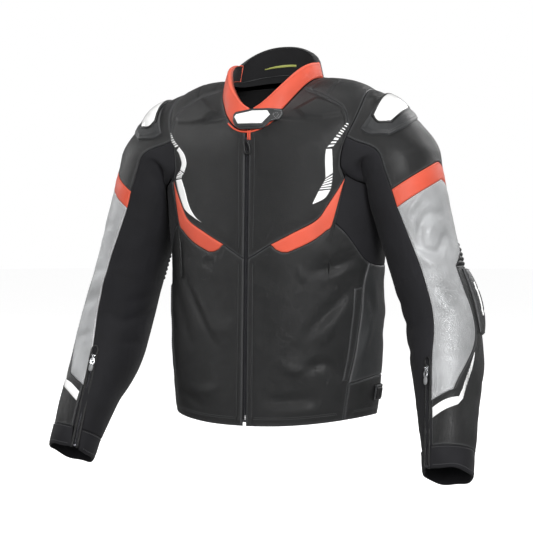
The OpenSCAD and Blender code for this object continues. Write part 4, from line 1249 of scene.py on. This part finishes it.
def slider(name, way, width, body, node, material, slot):
    """The slider: a waisted plate with a bridge over it for the puller."""
    down = REST_DROP
    t = np.linspace(0, 1, 13)
    outline = []
    for k in t:
        outline.append([width / 2 * (1 - 0.25 * math.sin(math.pi * k) ** 2), -6 + 12 * k])
    outline = np.array(outline + [[-x, y] for x, y in reversed(outline)])
    rings = []
    for shrink, out in ((1.0, 2.1), (1.0, 2.8), (0.93, 3.05), (0.8, 3.1), (0.02, 3.1)):
        rings.append(way.at(outline[:, 0] * shrink, out, down + outline[:, 1] * shrink))
    rings.append(way.at(outline[:, 0] * 0.02, 2.1, down + outline[:, 1] * 0.02))
    n = len(outline)
    i = np.arange(n * len(rings)).reshape(len(rings), n)
    faces = np.concatenate([wall_faces(i[:-1], i[1:]), wall_faces(i[-1], i[0])])
    parts = [(np.concatenate(rings), faces[:, [0, 3, 2, 1]])]
    for x in (-1.9, 1.9):
        a = np.linspace(0, math.pi, 9)
        path = way.at(np.full(9, x), 3.0 + 3.4 * np.sin(a), down - 3 - 2.6 * np.cos(a))
        parts.append(swept(path, 0.65, 8))
    pin = way.at(np.array([-2.2, 0, 2.2]), PIN_OUT, PIN_DOWN)
    parts.append(swept(pin, 0.7, 10))
    placed(mesh_piece(name, *merged(parts), material), body, slot, node)


def eye(way, radius, wire):
    """The small ring by which a puller hangs on its slider's pin."""
    a = np.linspace(0, 2 * math.pi, 17)[:-1]
    return swept(way.at(np.zeros(16), PIN_OUT + radius * np.sin(a), PIN_DOWN + radius * np.cos(a)), wire,
                 8, closed=True)


def loop_puller(way):
    """The front zip's puller: a soft oval loop hung from a small eye."""
    down, out = PIN_DOWN, PIN_OUT
    a = np.linspace(0, 2 * math.pi, 49)[:-1]
    along_loop = 14.5 - 10.5 * np.cos(a)
    path = way.at(4.8 * np.sin(a) * (1 - 0.18 * np.cos(a)) + 0.12 * along_loop, out, down + along_loop)
    parts = [swept(path, 1.55, 10, closed=True, flat=0.75, up=way.out), eye(way, 1.6, 0.62)]
    bridge = way.at(np.linspace(-0.9, 0.9, 5), out, down + 2.6)
    parts.append(swept(bridge, 1.5, 10))
    loop = mesh_piece("main_puller_loop", *merged(parts), RUBBER)
    placed(loop, "main_puller", "dark_metal", "main_zip_puller")


def cuff_puller(way, side):
    """The cuff zip's puller: a bright tag with a round window over a grey grip."""
    n = NAME[side]
    down, out = PIN_DOWN, PIN_OUT
    a = np.linspace(0, 2 * math.pi, 33)[:-1]
    c, s = np.cos(a), np.sin(a)
    rim = np.stack([4.6 * s * (1 - 0.12 * c), 10.2 - 7.2 * c - 0.7 * np.cos(2 * a)], -1)
    hole = np.stack([1.9 * s, 8.4 - 2.1 * c], -1)
    rings = []
    for shape, o in ((rim, -0.7), (rim, 0.5), (rim * 0.93 + (0, 0.6), 0.9), (hole * 1.12 - (0, 1.0), 0.9),
                     (hole, 0.6), (hole, -0.7)):
        rings.append(way.at(shape[:, 0], out + o, down + shape[:, 1]))
    i = np.arange(32 * len(rings)).reshape(len(rings), 32)
    plate = np.concatenate(rings), wall_faces(i, np.roll(i, -1, axis=0))
    tag = mesh_piece(f"cuff_puller_tag_{n}", *merged([plate, eye(way, 1.7, 0.6)]), BRIGHT_METAL)
    placed(tag, "cuff_zip_puller_" + n, "bright_metal", "cuff_puller_" + n)
    grip_path = way.at(np.zeros(9), out + 0.1, down + np.linspace(14.5, 28.0, 9))
    swell = np.array([1.8, 3.4, 4.0, 4.2, 4.1, 3.9, 3.7, 3.1, 1.4])
    grip = mesh_piece(f"cuff_puller_grip_{n}", *swept(grip_path, swell, 12, flat=0.42, up=way.out), GRIP)
    placed(grip, "cuff_zip_puller_" + n, "bright_metal")


def main_zip():
    way = Way(np.array([0, -front_y(MAIN_TOP) + SINK, MAIN_TOP]),
              np.array([0, -front_y(MAIN_BOTTOM) + SINK, MAIN_BOTTOM]),
              np.array([0, -1.0, 0]))
    teeth("main_zip_teeth", way, 2.2, 3.0, "torso", "main_zip_chain", "dark_metal")
    for side in (LEFT, RIGHT):
        v = np.linspace(0.1, 8.5, 60)
        low = np.stack([u_at(1.2, v), v], -1)
        high = np.stack([u_at(14, v), v], -1)
        tape = Panel(f"zip_tape_{NAME[side]}", side, "torso", [low[0], high[0]], [low[-1], high[-1]], low,
                     high,
                     TAPE, "zip_tape", outer=-3.4, inner=-4.2, roll=0, puff=0, pull=0)
        sewn(tape, on_torso, ["main_zip_tapes"])
    slider("main_slider_body", way, 9, "main_slider", "main_zip_slider", DARK_METAL, "dark_metal")
    loop_puller(way)
    flap = Panel("storm_flap_behind", LEFT, "torso", [[-7, 0.2], [7, 0.2]], [[-10, 8.2], [10, 8.2]],
                 [[-7, 0.2], [-7, 4], [-10, 8.2]], [[7, 0.2], [7, 4], [10, 8.2]], LINING, "black_leather",
                 cell=5, outer=-5.2, inner=-6.4, puff=0)
    sewn(flap, on_torso, ["storm_flap"])
    for x in (2.4, 6.0):
        cord = way.at(np.full(9, x), 2.6 + 0.5 * np.sin(np.linspace(0, 3.1, 9)), np.linspace(-11, 5, 9))
        strip = mesh_piece(f"zip_garage_cord_{'l' if x > 4 else 'r'}",
                           *swept(cord, 1.35, 10, flat=0.6, up=(0, -1, 0)), RED)
        placed(strip, "torso", "red_leather")


def cuff_zips(side):
    n = NAME[side]
    forearm = "forearm_" + n
    low, high = surface("sleeve", [6.4, 100.0]), surface("sleeve", [8.6, 124.0])
    a, b, c, d = (surface("sleeve", q) for q in ([7.5, 118.0], [7.5, 106.0], [7.9, 112.0], [7.1, 112.0]))
    out = unit(np.cross(a - b, c - d))
    flip = np.array([side, 1, 1])
    low, high, out = low * flip, high * flip, out * flip
    low, high = low + out * 0.4, high + out * 0.4
    way = Way(low, high, out)
    teeth(f"cuff_zip_teeth_{n}", way, 1.8, 2.6, forearm, "cuff_zip_" + n, "zip_tape")
    for name, x in (("inner", -1), ("outer", 1)):
        line = way.at(np.full(40, x * 4.6), 0.4, np.linspace(-4, way.length + 1, 40))
        welt = mesh_piece(f"cuff_zip_welt_{name}_{n}", *swept(line, 2.6, 10, flat=0.5, up=out), BLACK)
        placed(welt, forearm, "black_leather")
    a = np.linspace(-0.5 * math.pi, 1.5 * math.pi, 33)[:-1]
    garage = way.at(5.4 * np.cos(a), 1.6, -6.5 + 8.5 * np.sin(a))
    ring = mesh_piece(f"cuff_zip_garage_{n}", *swept(garage, 1.4, 8, closed=True, flat=0.7, up=out), RUBBER)
    placed(ring, forearm, "black_leather")
    slider(f"cuff_slider_body_{n}", way, 7, "cuff_zip_slider_" + n, "cuff_slider_" + n, BRIGHT_METAL,
           "bright_metal")
    cuff_puller(way, side)


# ---- inside of the body ----
def inside_pieces():
    lining = Panel("body_lining", LEFT, "torso", smooth([[6, 0.3], [354, 0.3]], 60),
                   smooth([[12, 8.4], [348, 8.4]], 60),
                   smooth([[6, 0.3], [12, 8.4]], 30), smooth([[354, 0.3], [348, 8.4]], 30), LINING,
                   "lining_fabric",
                   cell=6, outer=-15, inner=-16, roll=0, puff=0,
                   relief=lambda p: 0.7 * noise(p / 30))
    sewn(lining, on_torso, ["torso_lining"])
    pad = Panel("back_protector_pad", LEFT, "torso", [[152, 1.4], [208, 1.4]], [[150, 7.4], [210, 7.4]],
                [[152, 1.4], [144, 4.6], [150, 7.4]], [[208, 1.4], [216, 4.6], [210, 7.4]], FOAM,
                "armour_foam",
                cell=5, outer=-5.2, inner=-12.4, roll=1.5, puff=0.6)
    sewn(pad, on_torso, ["back_protector"], fill=FOAM_FILL)
    zip_line = Panel("connection_zip_tape", LEFT, "torso", level(0.36, 128, 232), level(0.56, 128, 232),
                     [[128, 0.36], [128, 0.56]], [[232, 0.36], [232, 0.56]], TAPE, "zip_tape", cell=2.5,
                     outer=-17.2, inner=-18.4, roll=0, puff=0)
    sewn(zip_line, on_torso, ["connection_zip"])
    v = 0.46
    line = evened(surface("torso", level(v, 129, 231, 60)), 2.4)
    inward = -unit(line * (1, 1, 0))
    parts = []
    for i, (p, o) in enumerate(zip(line, inward)):
        tooth_way = Way(p + o * 19, p + o * 19 + unit(line[min(i + 1, len(line) - 1)]
                                                      - line[max(i - 1, 0)]), o)
        parts.append(block(tooth_way, 0.8 * (-1) ** i, 0, 0, 2.8, 1.6, 1.3))
    toothed = mesh_piece("connection_zip_teeth", *merged(parts), DARK_METAL)
    placed(toothed, "torso", "dark_metal")


def armour(side):
    n = NAME[side]
    cap = Panel(f"shoulder_pad_{n}", side, "sleeve", [[0.14, -50], [0.14, 48]], [[0.66, -50], [0.66, 48]],
                [[0.14, -50], [0.66, -50]], [[0.14, 48], [0.66, 48]], FOAM, "armour_foam", cell=4,
                outer=-5.6, inner=-10.6, roll=1.5, puff=0.5)
    sewn(cap, on_torso, ["shoulder_armour"], fill=FOAM_FILL)
    elbow = Panel(f"elbow_pad_{n}", side, "sleeve", [[4.3, -92], [4.3, 2]], [[6.0, -88], [6.0, -4]],
                  [[4.3, -92], [6.0, -88]], [[4.3, 2], [6.0, -4]], FOAM, "armour_foam", cell=4,
                  outer=-5.6, inner=-10.6, roll=1.5, puff=0.5)
    sewn(elbow, at_elbow, ["elbow_armour_" + n], fill=FOAM_FILL)


# ---- sleeves ----
REAR = -145                 # angle of the seam along the back of the sleeve
INNER_REAR = REAR + 360     # the same seam, counted round from the inner side
BAND_T, BAND_SLOPE = 1.7, 0.00525
RIBS_T, FOREARM_T, CUFF_T = 3.36, 3.98, 8.08


def band_line(shift, a, b, n=40):
    """The red band's slanting edge, moved down the sleeve by shift."""
    th = np.linspace(a, b, n + 1)
    return np.stack([BAND_T + shift + BAND_SLOPE * np.abs(th), th], -1)


def ring_line(t, a, b, n=40):
    """A line round the sleeve at station t, from angle a to b."""
    return np.stack([np.full(n + 1, float(t)), np.linspace(a, b, n + 1)], -1)


FRONT_SEAM = smooth([[0, 66], [0.7, 74], [1.4, 84], [2.141, 84]])
LOWER_SEAM = smooth([[2.541, 84], [3.2, 81], [4, 79], [5, 82], [6, 91], [7.08, 99]])
SILVER_REAR = smooth([[2.31, -40], [3.35, -34], [3.98, 18]])
SILVER_OUTER = smooth([[3.98, 18], [4.6, 18], [5.4, 12], [6.2, 33], [6.88, 57]])
SILVER_LOW = smooth([[6.88, 57], [6.98, 78], [7.08, 99]])
FOREARM_FRONT = smooth([[7.08, 99], [7.6, 103], [8.08, 107]])
KNIT_SPLIT, KNIT_LOW = 4.0, 5.06


def sleeve_panels(side):
    n = NAME[side]
    hide = sleeve_relief(side)
    knit = knit_relief(side)
    sewn(Panel(f"shoulder_leather_{n}", side, "sleeve", ring_line(0, REAR, 66), band_line(0, REAR, 84),
               [[0, REAR], [BAND_T - BAND_SLOPE * REAR, REAR]], FRONT_SEAM, BLACK, "black_leather",
               relief=hide),
         at_shoulder, ["sleeve_cap_" + n], [("high", (2.8,)), ("last", (2.6,)), ("first", (3,))])
    knit_seam = joined([[0, 66], [0.7, 74], [1.4, 84], [2.141, 84]], [[2.141, 84], [2.541, 84]],
                       [[2.541, 84], [3.2, 81], [4, 79]])
    sewn(Panel(f"knit_upper_{n}", side, "sleeve", ring_line(0, 66, INNER_REAR),
               ring_line(KNIT_SPLIT, 79, INNER_REAR), knit_seam,
               smooth([[0, INNER_REAR], [KNIT_SPLIT, INNER_REAR]], 40), STRETCH, "stretch_fabric",
               outer=-0.4, puff=0.3, relief=knit, flat=("last",)),
         at_shoulder, ["stretch_upper_" + n])
    sewn(Panel(f"knit_elbow_{n}", side, "sleeve", ring_line(KNIT_SPLIT, 79, INNER_REAR),
               ring_line(KNIT_LOW, 82.4, INNER_REAR),
               [[KNIT_SPLIT, 79], [4.5, 80], [KNIT_LOW, 82.4]],
               [[KNIT_SPLIT, INNER_REAR], [KNIT_LOW, INNER_REAR]],
               STRETCH, "stretch_fabric", outer=-0.4, puff=0.3, relief=knit, flat=("first", "last")),
         at_elbow, ["stretch_upper_" + n])
    sewn(Panel(f"arm_band_{n}", side, "sleeve", band_line(0, REAR, 84), band_line(0.4, REAR, 84),
               [[2.461, REAR], [2.861, REAR]], [[2.141, 84], [2.541, 84]], RED, "red_leather", outer=0.2,
               relief=hide, wear=0.4),
         at_shoulder, ["red_band_" + n], [("first", (2.6,)), ("last", (2.6,))], RED_THREAD)
    sewn(Panel(f"silver_{n}", side, "sleeve", band_line(0.4, -40, 84), SILVER_LOW,
               np.concatenate([SILVER_REAR, SILVER_OUTER[1:]]), LOWER_SEAM, SILVER, "silver_leather",
               cell=2.8, relief=hide, puff=1.2),
         at_elbow, ["silver_panel_" + n], [("first", (2.6,)), ("last", (3.2,)), ("low", (3.2,)),
                                           ("high", (3.2,))], GREY_THREAD)
    sewn(Panel(f"rear_upper_{n}", side, "sleeve", band_line(0.4, REAR, -40), ring_line(RIBS_T, REAR, -34),
               [[2.861, REAR], [RIBS_T, REAR]], [[2.31, -40], [2.9, -37], [RIBS_T, -34]],
               BLACK, "black_leather", relief=hide),
         at_shoulder, ["rear_sleeve_" + n], [("first", (2.6,)), ("last", (2.6,)), ("high", (2.8,))])
    sewn(Panel(f"elbow_ribs_{n}", side, "sleeve", ring_line(RIBS_T, REAR, -34),
               ring_line(FOREARM_T, REAR, 18),
               [[RIBS_T, REAR], [FOREARM_T, REAR]], [[RIBS_T, -34], [3.66, -10], [FOREARM_T, 18]],
               RIBBED, "accordion_leather", cell=1.5, relief=hide, extra=accordion(6, 3.4)),
         at_shoulder, ["rear_sleeve_" + n])
    sewn(Panel(f"forearm_{n}", side, "sleeve", ring_line(FOREARM_T, REAR, 18), ring_line(CUFF_T, REAR, 107),
               smooth([[FOREARM_T, REAR], [CUFF_T, REAR]], 40),
               np.concatenate([SILVER_OUTER, SILVER_LOW[1:], FOREARM_FRONT[1:]]),
               BLACK, "black_leather", relief=hide),
         at_elbow, ["forearm_leather_" + n], [("first", (2.8,)), ("high", (2.8,)), ("last", (2.6,))])
    knit_front = joined([[KNIT_LOW, 82.4], [6, 91], [7.08, 99]], [[7.08, 99], [7.6, 103], [CUFF_T, 107]])
    sewn(Panel(f"knit_lower_{n}", side, "sleeve", ring_line(KNIT_LOW, 82.4, INNER_REAR),
               ring_line(CUFF_T, 107, INNER_REAR), knit_front,
               smooth([[KNIT_LOW, INNER_REAR], [CUFF_T, INNER_REAR]], 40), STRETCH, "stretch_fabric",
               outer=-0.4, puff=0.3, relief=knit,
               flat=("first",)),
         at_elbow, ["stretch_lower_" + n])
    th = np.linspace(137, 478, 81)
    rim = np.stack([8.73 - 0.11 * np.cos(np.radians(th - 90)) + 0.02 * np.sin(np.radians(5 * th)), th], -1)
    sewn(Panel(f"cuff_{n}", side, "sleeve", ring_line(CUFF_T, 127, 468, 80), rim,
               [[CUFF_T, 127], rim[0]], [[CUFF_T, 468], rim[-1]], STRETCH, "stretch_fabric", outer=0.2,
               puff=0.8, relief=lambda p: 1.4 * noise(p / 22)),
         on_forearm, ["cuff_band_" + n], [("last", (6,)), ("first", (2.6,))])
    forearm_stripe(side)
    elbow_protector(side)
    shoulder_cup(side)


def forearm_stripe(side):
    solid = ([[7.47, 97], [7.30, 70], [7.19, 49]], [[7.25, 96.5], [7.09, 70], [7.01, 47]])
    corner = ([[7.19, 49], [7.05, 40]], [[7.01, 47], [6.85, 41]])
    bars = hatched([[7.04, 39.6], [6.80, 34.6], [6.48, 28], [6.24, 24.5], [6.01, 21.5]],
                   [[6.82, 40.4], [6.62, 36], [6.31, 29.4], [6.12, 25], [5.98, 21.8]], 18, 0.0, 0.42, 0.35)
    piece = film(f"forearm_stripe_{NAME[side]}", side, "sleeve", [solid, corner, *bars], PRINT,
                 1.6,
                 sleeve_relief(side))
    at_elbow(piece, side)


def elbow_protector(side):
    n = NAME[side]

    def shell(q, p, panel):
        across = panel.across / panel.across[:, -1:]
        up = panel.up / panel.up[-1:]
        dome = (np.sin(np.pi * across) * np.sin(np.pi * up)).clip(0) ** 0.6
        grooves = np.exp(-(((up - 0.33) / 0.02) ** 2)) + np.exp(-(((up - 0.66) / 0.02) ** 2))
        return 8.5 * dome - 1.4 * grooves * dome
    shell_panel = Panel(f"elbow_shell_{n}", side, "sleeve", ring_line(4.05, -72, 2), ring_line(5.5, -66, -2),
                        [[4.05, -72], [5.5, -66]], [[4.05, 2], [5.5, -2]], BEZEL, "grey_leather",
                        cell=2.2, outer=3.0, inner=0.6, roll=2.2, puff=0.4, extra=shell)
    sewn(shell_panel, at_elbow, ["elbow_protector_" + n],
         [("low", (3,)), ("high", (3,)), ("first", (3,)), ("last", (3,))],
         fill=FOAM_FILL)
    line, normals = shell_panel.inset("high", 12)
    keep = slice(len(line) // 6, -len(line) // 6)
    bead = mesh_piece(f"elbow_shell_line_{n}", *swept(evened(line[keep] + normals[keep] * 0.4, 2), 1.5, 8),
                      PRINT)
    at_elbow(bead, side)


def shoulder_cup(side):
    n = NAME[side]

    def bezel_shape(q, p, panel):
        d = panel.edge
        return 2.2 * step(d / 5) + 1.6 * step((d - 7) / 4)
    bezel = Panel(f"shoulder_bezel_{n}", side, "sleeve",
                  [[0.27, -26], [0.31, -4], [0.33, 16], [0.31, 38], [0.27, 58]],
                  [[0.82, -24], [0.93, 10], [0.96, 34], [0.92, 54]], [[0.27, -26], [0.55, -30], [0.82, -24]],
                  [[0.27, 58], [0.6, 62], [0.92, 54]], BEZEL, "black_leather", cell=2.0, outer=1.6, inner=0.2,
                  roll=1.8, puff=0.4, extra=bezel_shape)
    sewn(bezel, on_torso, ["shoulder_slider_" + n],
         [("low", (3,)), ("high", (3,)), ("first", (3,)), ("last", (3, 7.5))],
         fill=FOAM_FILL)

    def dome(q, p, panel):
        across = panel.across / panel.across[:, -1:]
        up = panel.up / panel.up[-1:]
        return 6.4 * ((np.sin(np.pi * across) * np.sin(np.pi * up)).clip(0) ** 0.45)
    cup = Panel(f"shoulder_cup_{n}", side, "sleeve", [[0.39, -10], [0.37, 16], [0.40, 43]],
                [[0.66, -13], [0.74, 10], [0.76, 40]], [[0.39, -10], [0.52, -14], [0.66, -13]],
                [[0.40, 43], [0.58, 47], [0.76, 40]], CUP, "white_cup", cell=1.8, outer=5.4, inner=3.2,
                roll=1.0, puff=0, extra=dome)
    on_torso(cup.object, side)
    # The black lip round the cup is partly the bezel's real black inner rim and partly painted shade: it is
    # made wide and dark all round to stand in for the shading at the cup's edge.
    ring = np.concatenate([cup.face[0], cup.face[:, -1], cup.face[-1][::-1], cup.face[:, 0][::-1]])
    out = np.concatenate([cup.normal[0], cup.normal[:, -1], cup.normal[-1][::-1], cup.normal[:, 0][::-1]])
    rim_with_painted_shade = mesh_piece(f"shoulder_cup_lip_{n}", *swept(evened(ring + out * 0.2, 2.2)[:-1], 2.9, 10,
                                                     closed=True), RUBBER)
    placed(rim_with_painted_shade, "torso", "black_leather")


# ---- stage, in metres ----
FLOOR_GAP = 0.03            # the jacket hangs just clear of the floor
FLOOR_RINGS = [0.0001, 1.5, 4, 9, 14.0]
FLOOR_GLOW = 0.75           # lifts the floor to the photograph's white
LIGHTS = (("key", (2.0, -2.2, 0.9), 1.1, 66), ("chest", (0.9, -3.0, 0.4), 0.9, 22),
          ("fill", (-1.6, -2.2, 0.6), 1.6, 6), ("top", (-0.2, -0.3, 2.2), 1.2, 18),
          ("left", (-2.4, 0.2, 0.4), 1.0, 14), ("back", (0.9, 2.4, 1.0), 1.8, 30))
STUDIO, SEEN = 0.27, 1.0    # strength of the plain light all round, and of the white that the camera sees
LOOK_AT, AZIMUTH, ELEVATION, DISTANCE = (-0.022, 0, -0.325), 25, 1.5, 3.2
SENSOR, LENS = 36, 123.5


def stage():
    """Pale floor, plain light all round, a white background and six soft lamps."""
    floor_z = cad_low.z - FLOOR_GAP
    n = 64
    rings = FLOOR_RINGS
    a = np.linspace(0, 2 * math.pi, n + 1)[:-1]
    points = np.concatenate([np.stack([r * np.cos(a), r * np.sin(a), np.full(n, floor_z)], -1)
                             for r in rings]) / MM
    i = np.arange(n * len(rings)).reshape(len(rings), n)
    faces = wall_faces(i[:-1], i[1:])
    floor = mesh_piece("floor", points, faces, moulded("pale_floor", (0.86, 0.86, 0.86), (0.7, 0.9)))
    shader = floor.data.materials[0].node_tree.nodes["Principled BSDF"]
    shader.inputs["Emission Color"].default_value = (1, 1, 1, 1)
    shader.inputs["Emission Strength"].default_value = FLOOR_GLOW
    floor.visible_diffuse = False
    floor.visible_glossy = False
    world = bpy.data.worlds.new("studio")
    bpy.context.scene.world = world
    world.use_nodes = True
    nodes, links = world.node_tree.nodes, world.node_tree.links
    background = nodes["Background"]
    background.inputs["Color"].default_value = (1, 1, 1, 1)
    background.inputs["Strength"].default_value = STUDIO
    seen = nodes.new("ShaderNodeBackground")
    seen.inputs["Color"].default_value = (1, 1, 1, 1)
    seen.inputs["Strength"].default_value = SEEN
    mix, path = nodes.new("ShaderNodeMixShader"), nodes.new("ShaderNodeLightPath")
    links.new(path.outputs["Is Camera Ray"], mix.inputs["Fac"])
    links.new(background.outputs[0], mix.inputs[1])
    links.new(seen.outputs[0], mix.inputs[2])
    links.new(mix.outputs[0], nodes["World Output"].inputs["Surface"])
    middle = (cad_low + cad_high) / 2
    for name, place, size, power in LIGHTS:
        light = bpy.data.lights.new(name, "AREA")
        light.shape, light.size, light.energy = "DISK", size, power
        lamp = bpy.data.objects.new(name, light)
        bpy.context.scene.collection.objects.link(lamp)
        lamp.location = Vector(place)
        lamp.rotation_mode = "QUATERNION"
        lamp.rotation_quaternion = (middle - lamp.location).to_track_quat("-Z", "Y")


def camera():
    azimuth, elevation = math.radians(AZIMUTH), math.radians(ELEVATION)
    level_part = math.cos(elevation)
    back = Vector((math.sin(azimuth) * level_part, -math.cos(azimuth) * level_part, math.sin(elevation)))
    data = bpy.data.cameras.new("camera")
    data.sensor_width, data.lens = SENSOR, LENS
    found = bpy.data.objects.new("camera", data)
    bpy.context.scene.collection.objects.link(found)
    found.location = Vector(LOOK_AT) + back * DISTANCE
    found.rotation_mode = "QUATERNION"
    found.rotation_quaternion = (-back).to_track_quat("-Z", "Y")
    bpy.context.scene.camera = found


for s in (LEFT, RIGHT):
    body_panels(s)
    chest_stripe(s)
    sleeve_panels(s)
    armour(s)
    cuff_zips(s)
back_panels()
collar_panels()
collar_lining()
collar_trim()
neck_tab()
main_zip()
inside_pieces()
stage()
camera()
bpy.context.scene.view_settings.view_transform = "Standard"
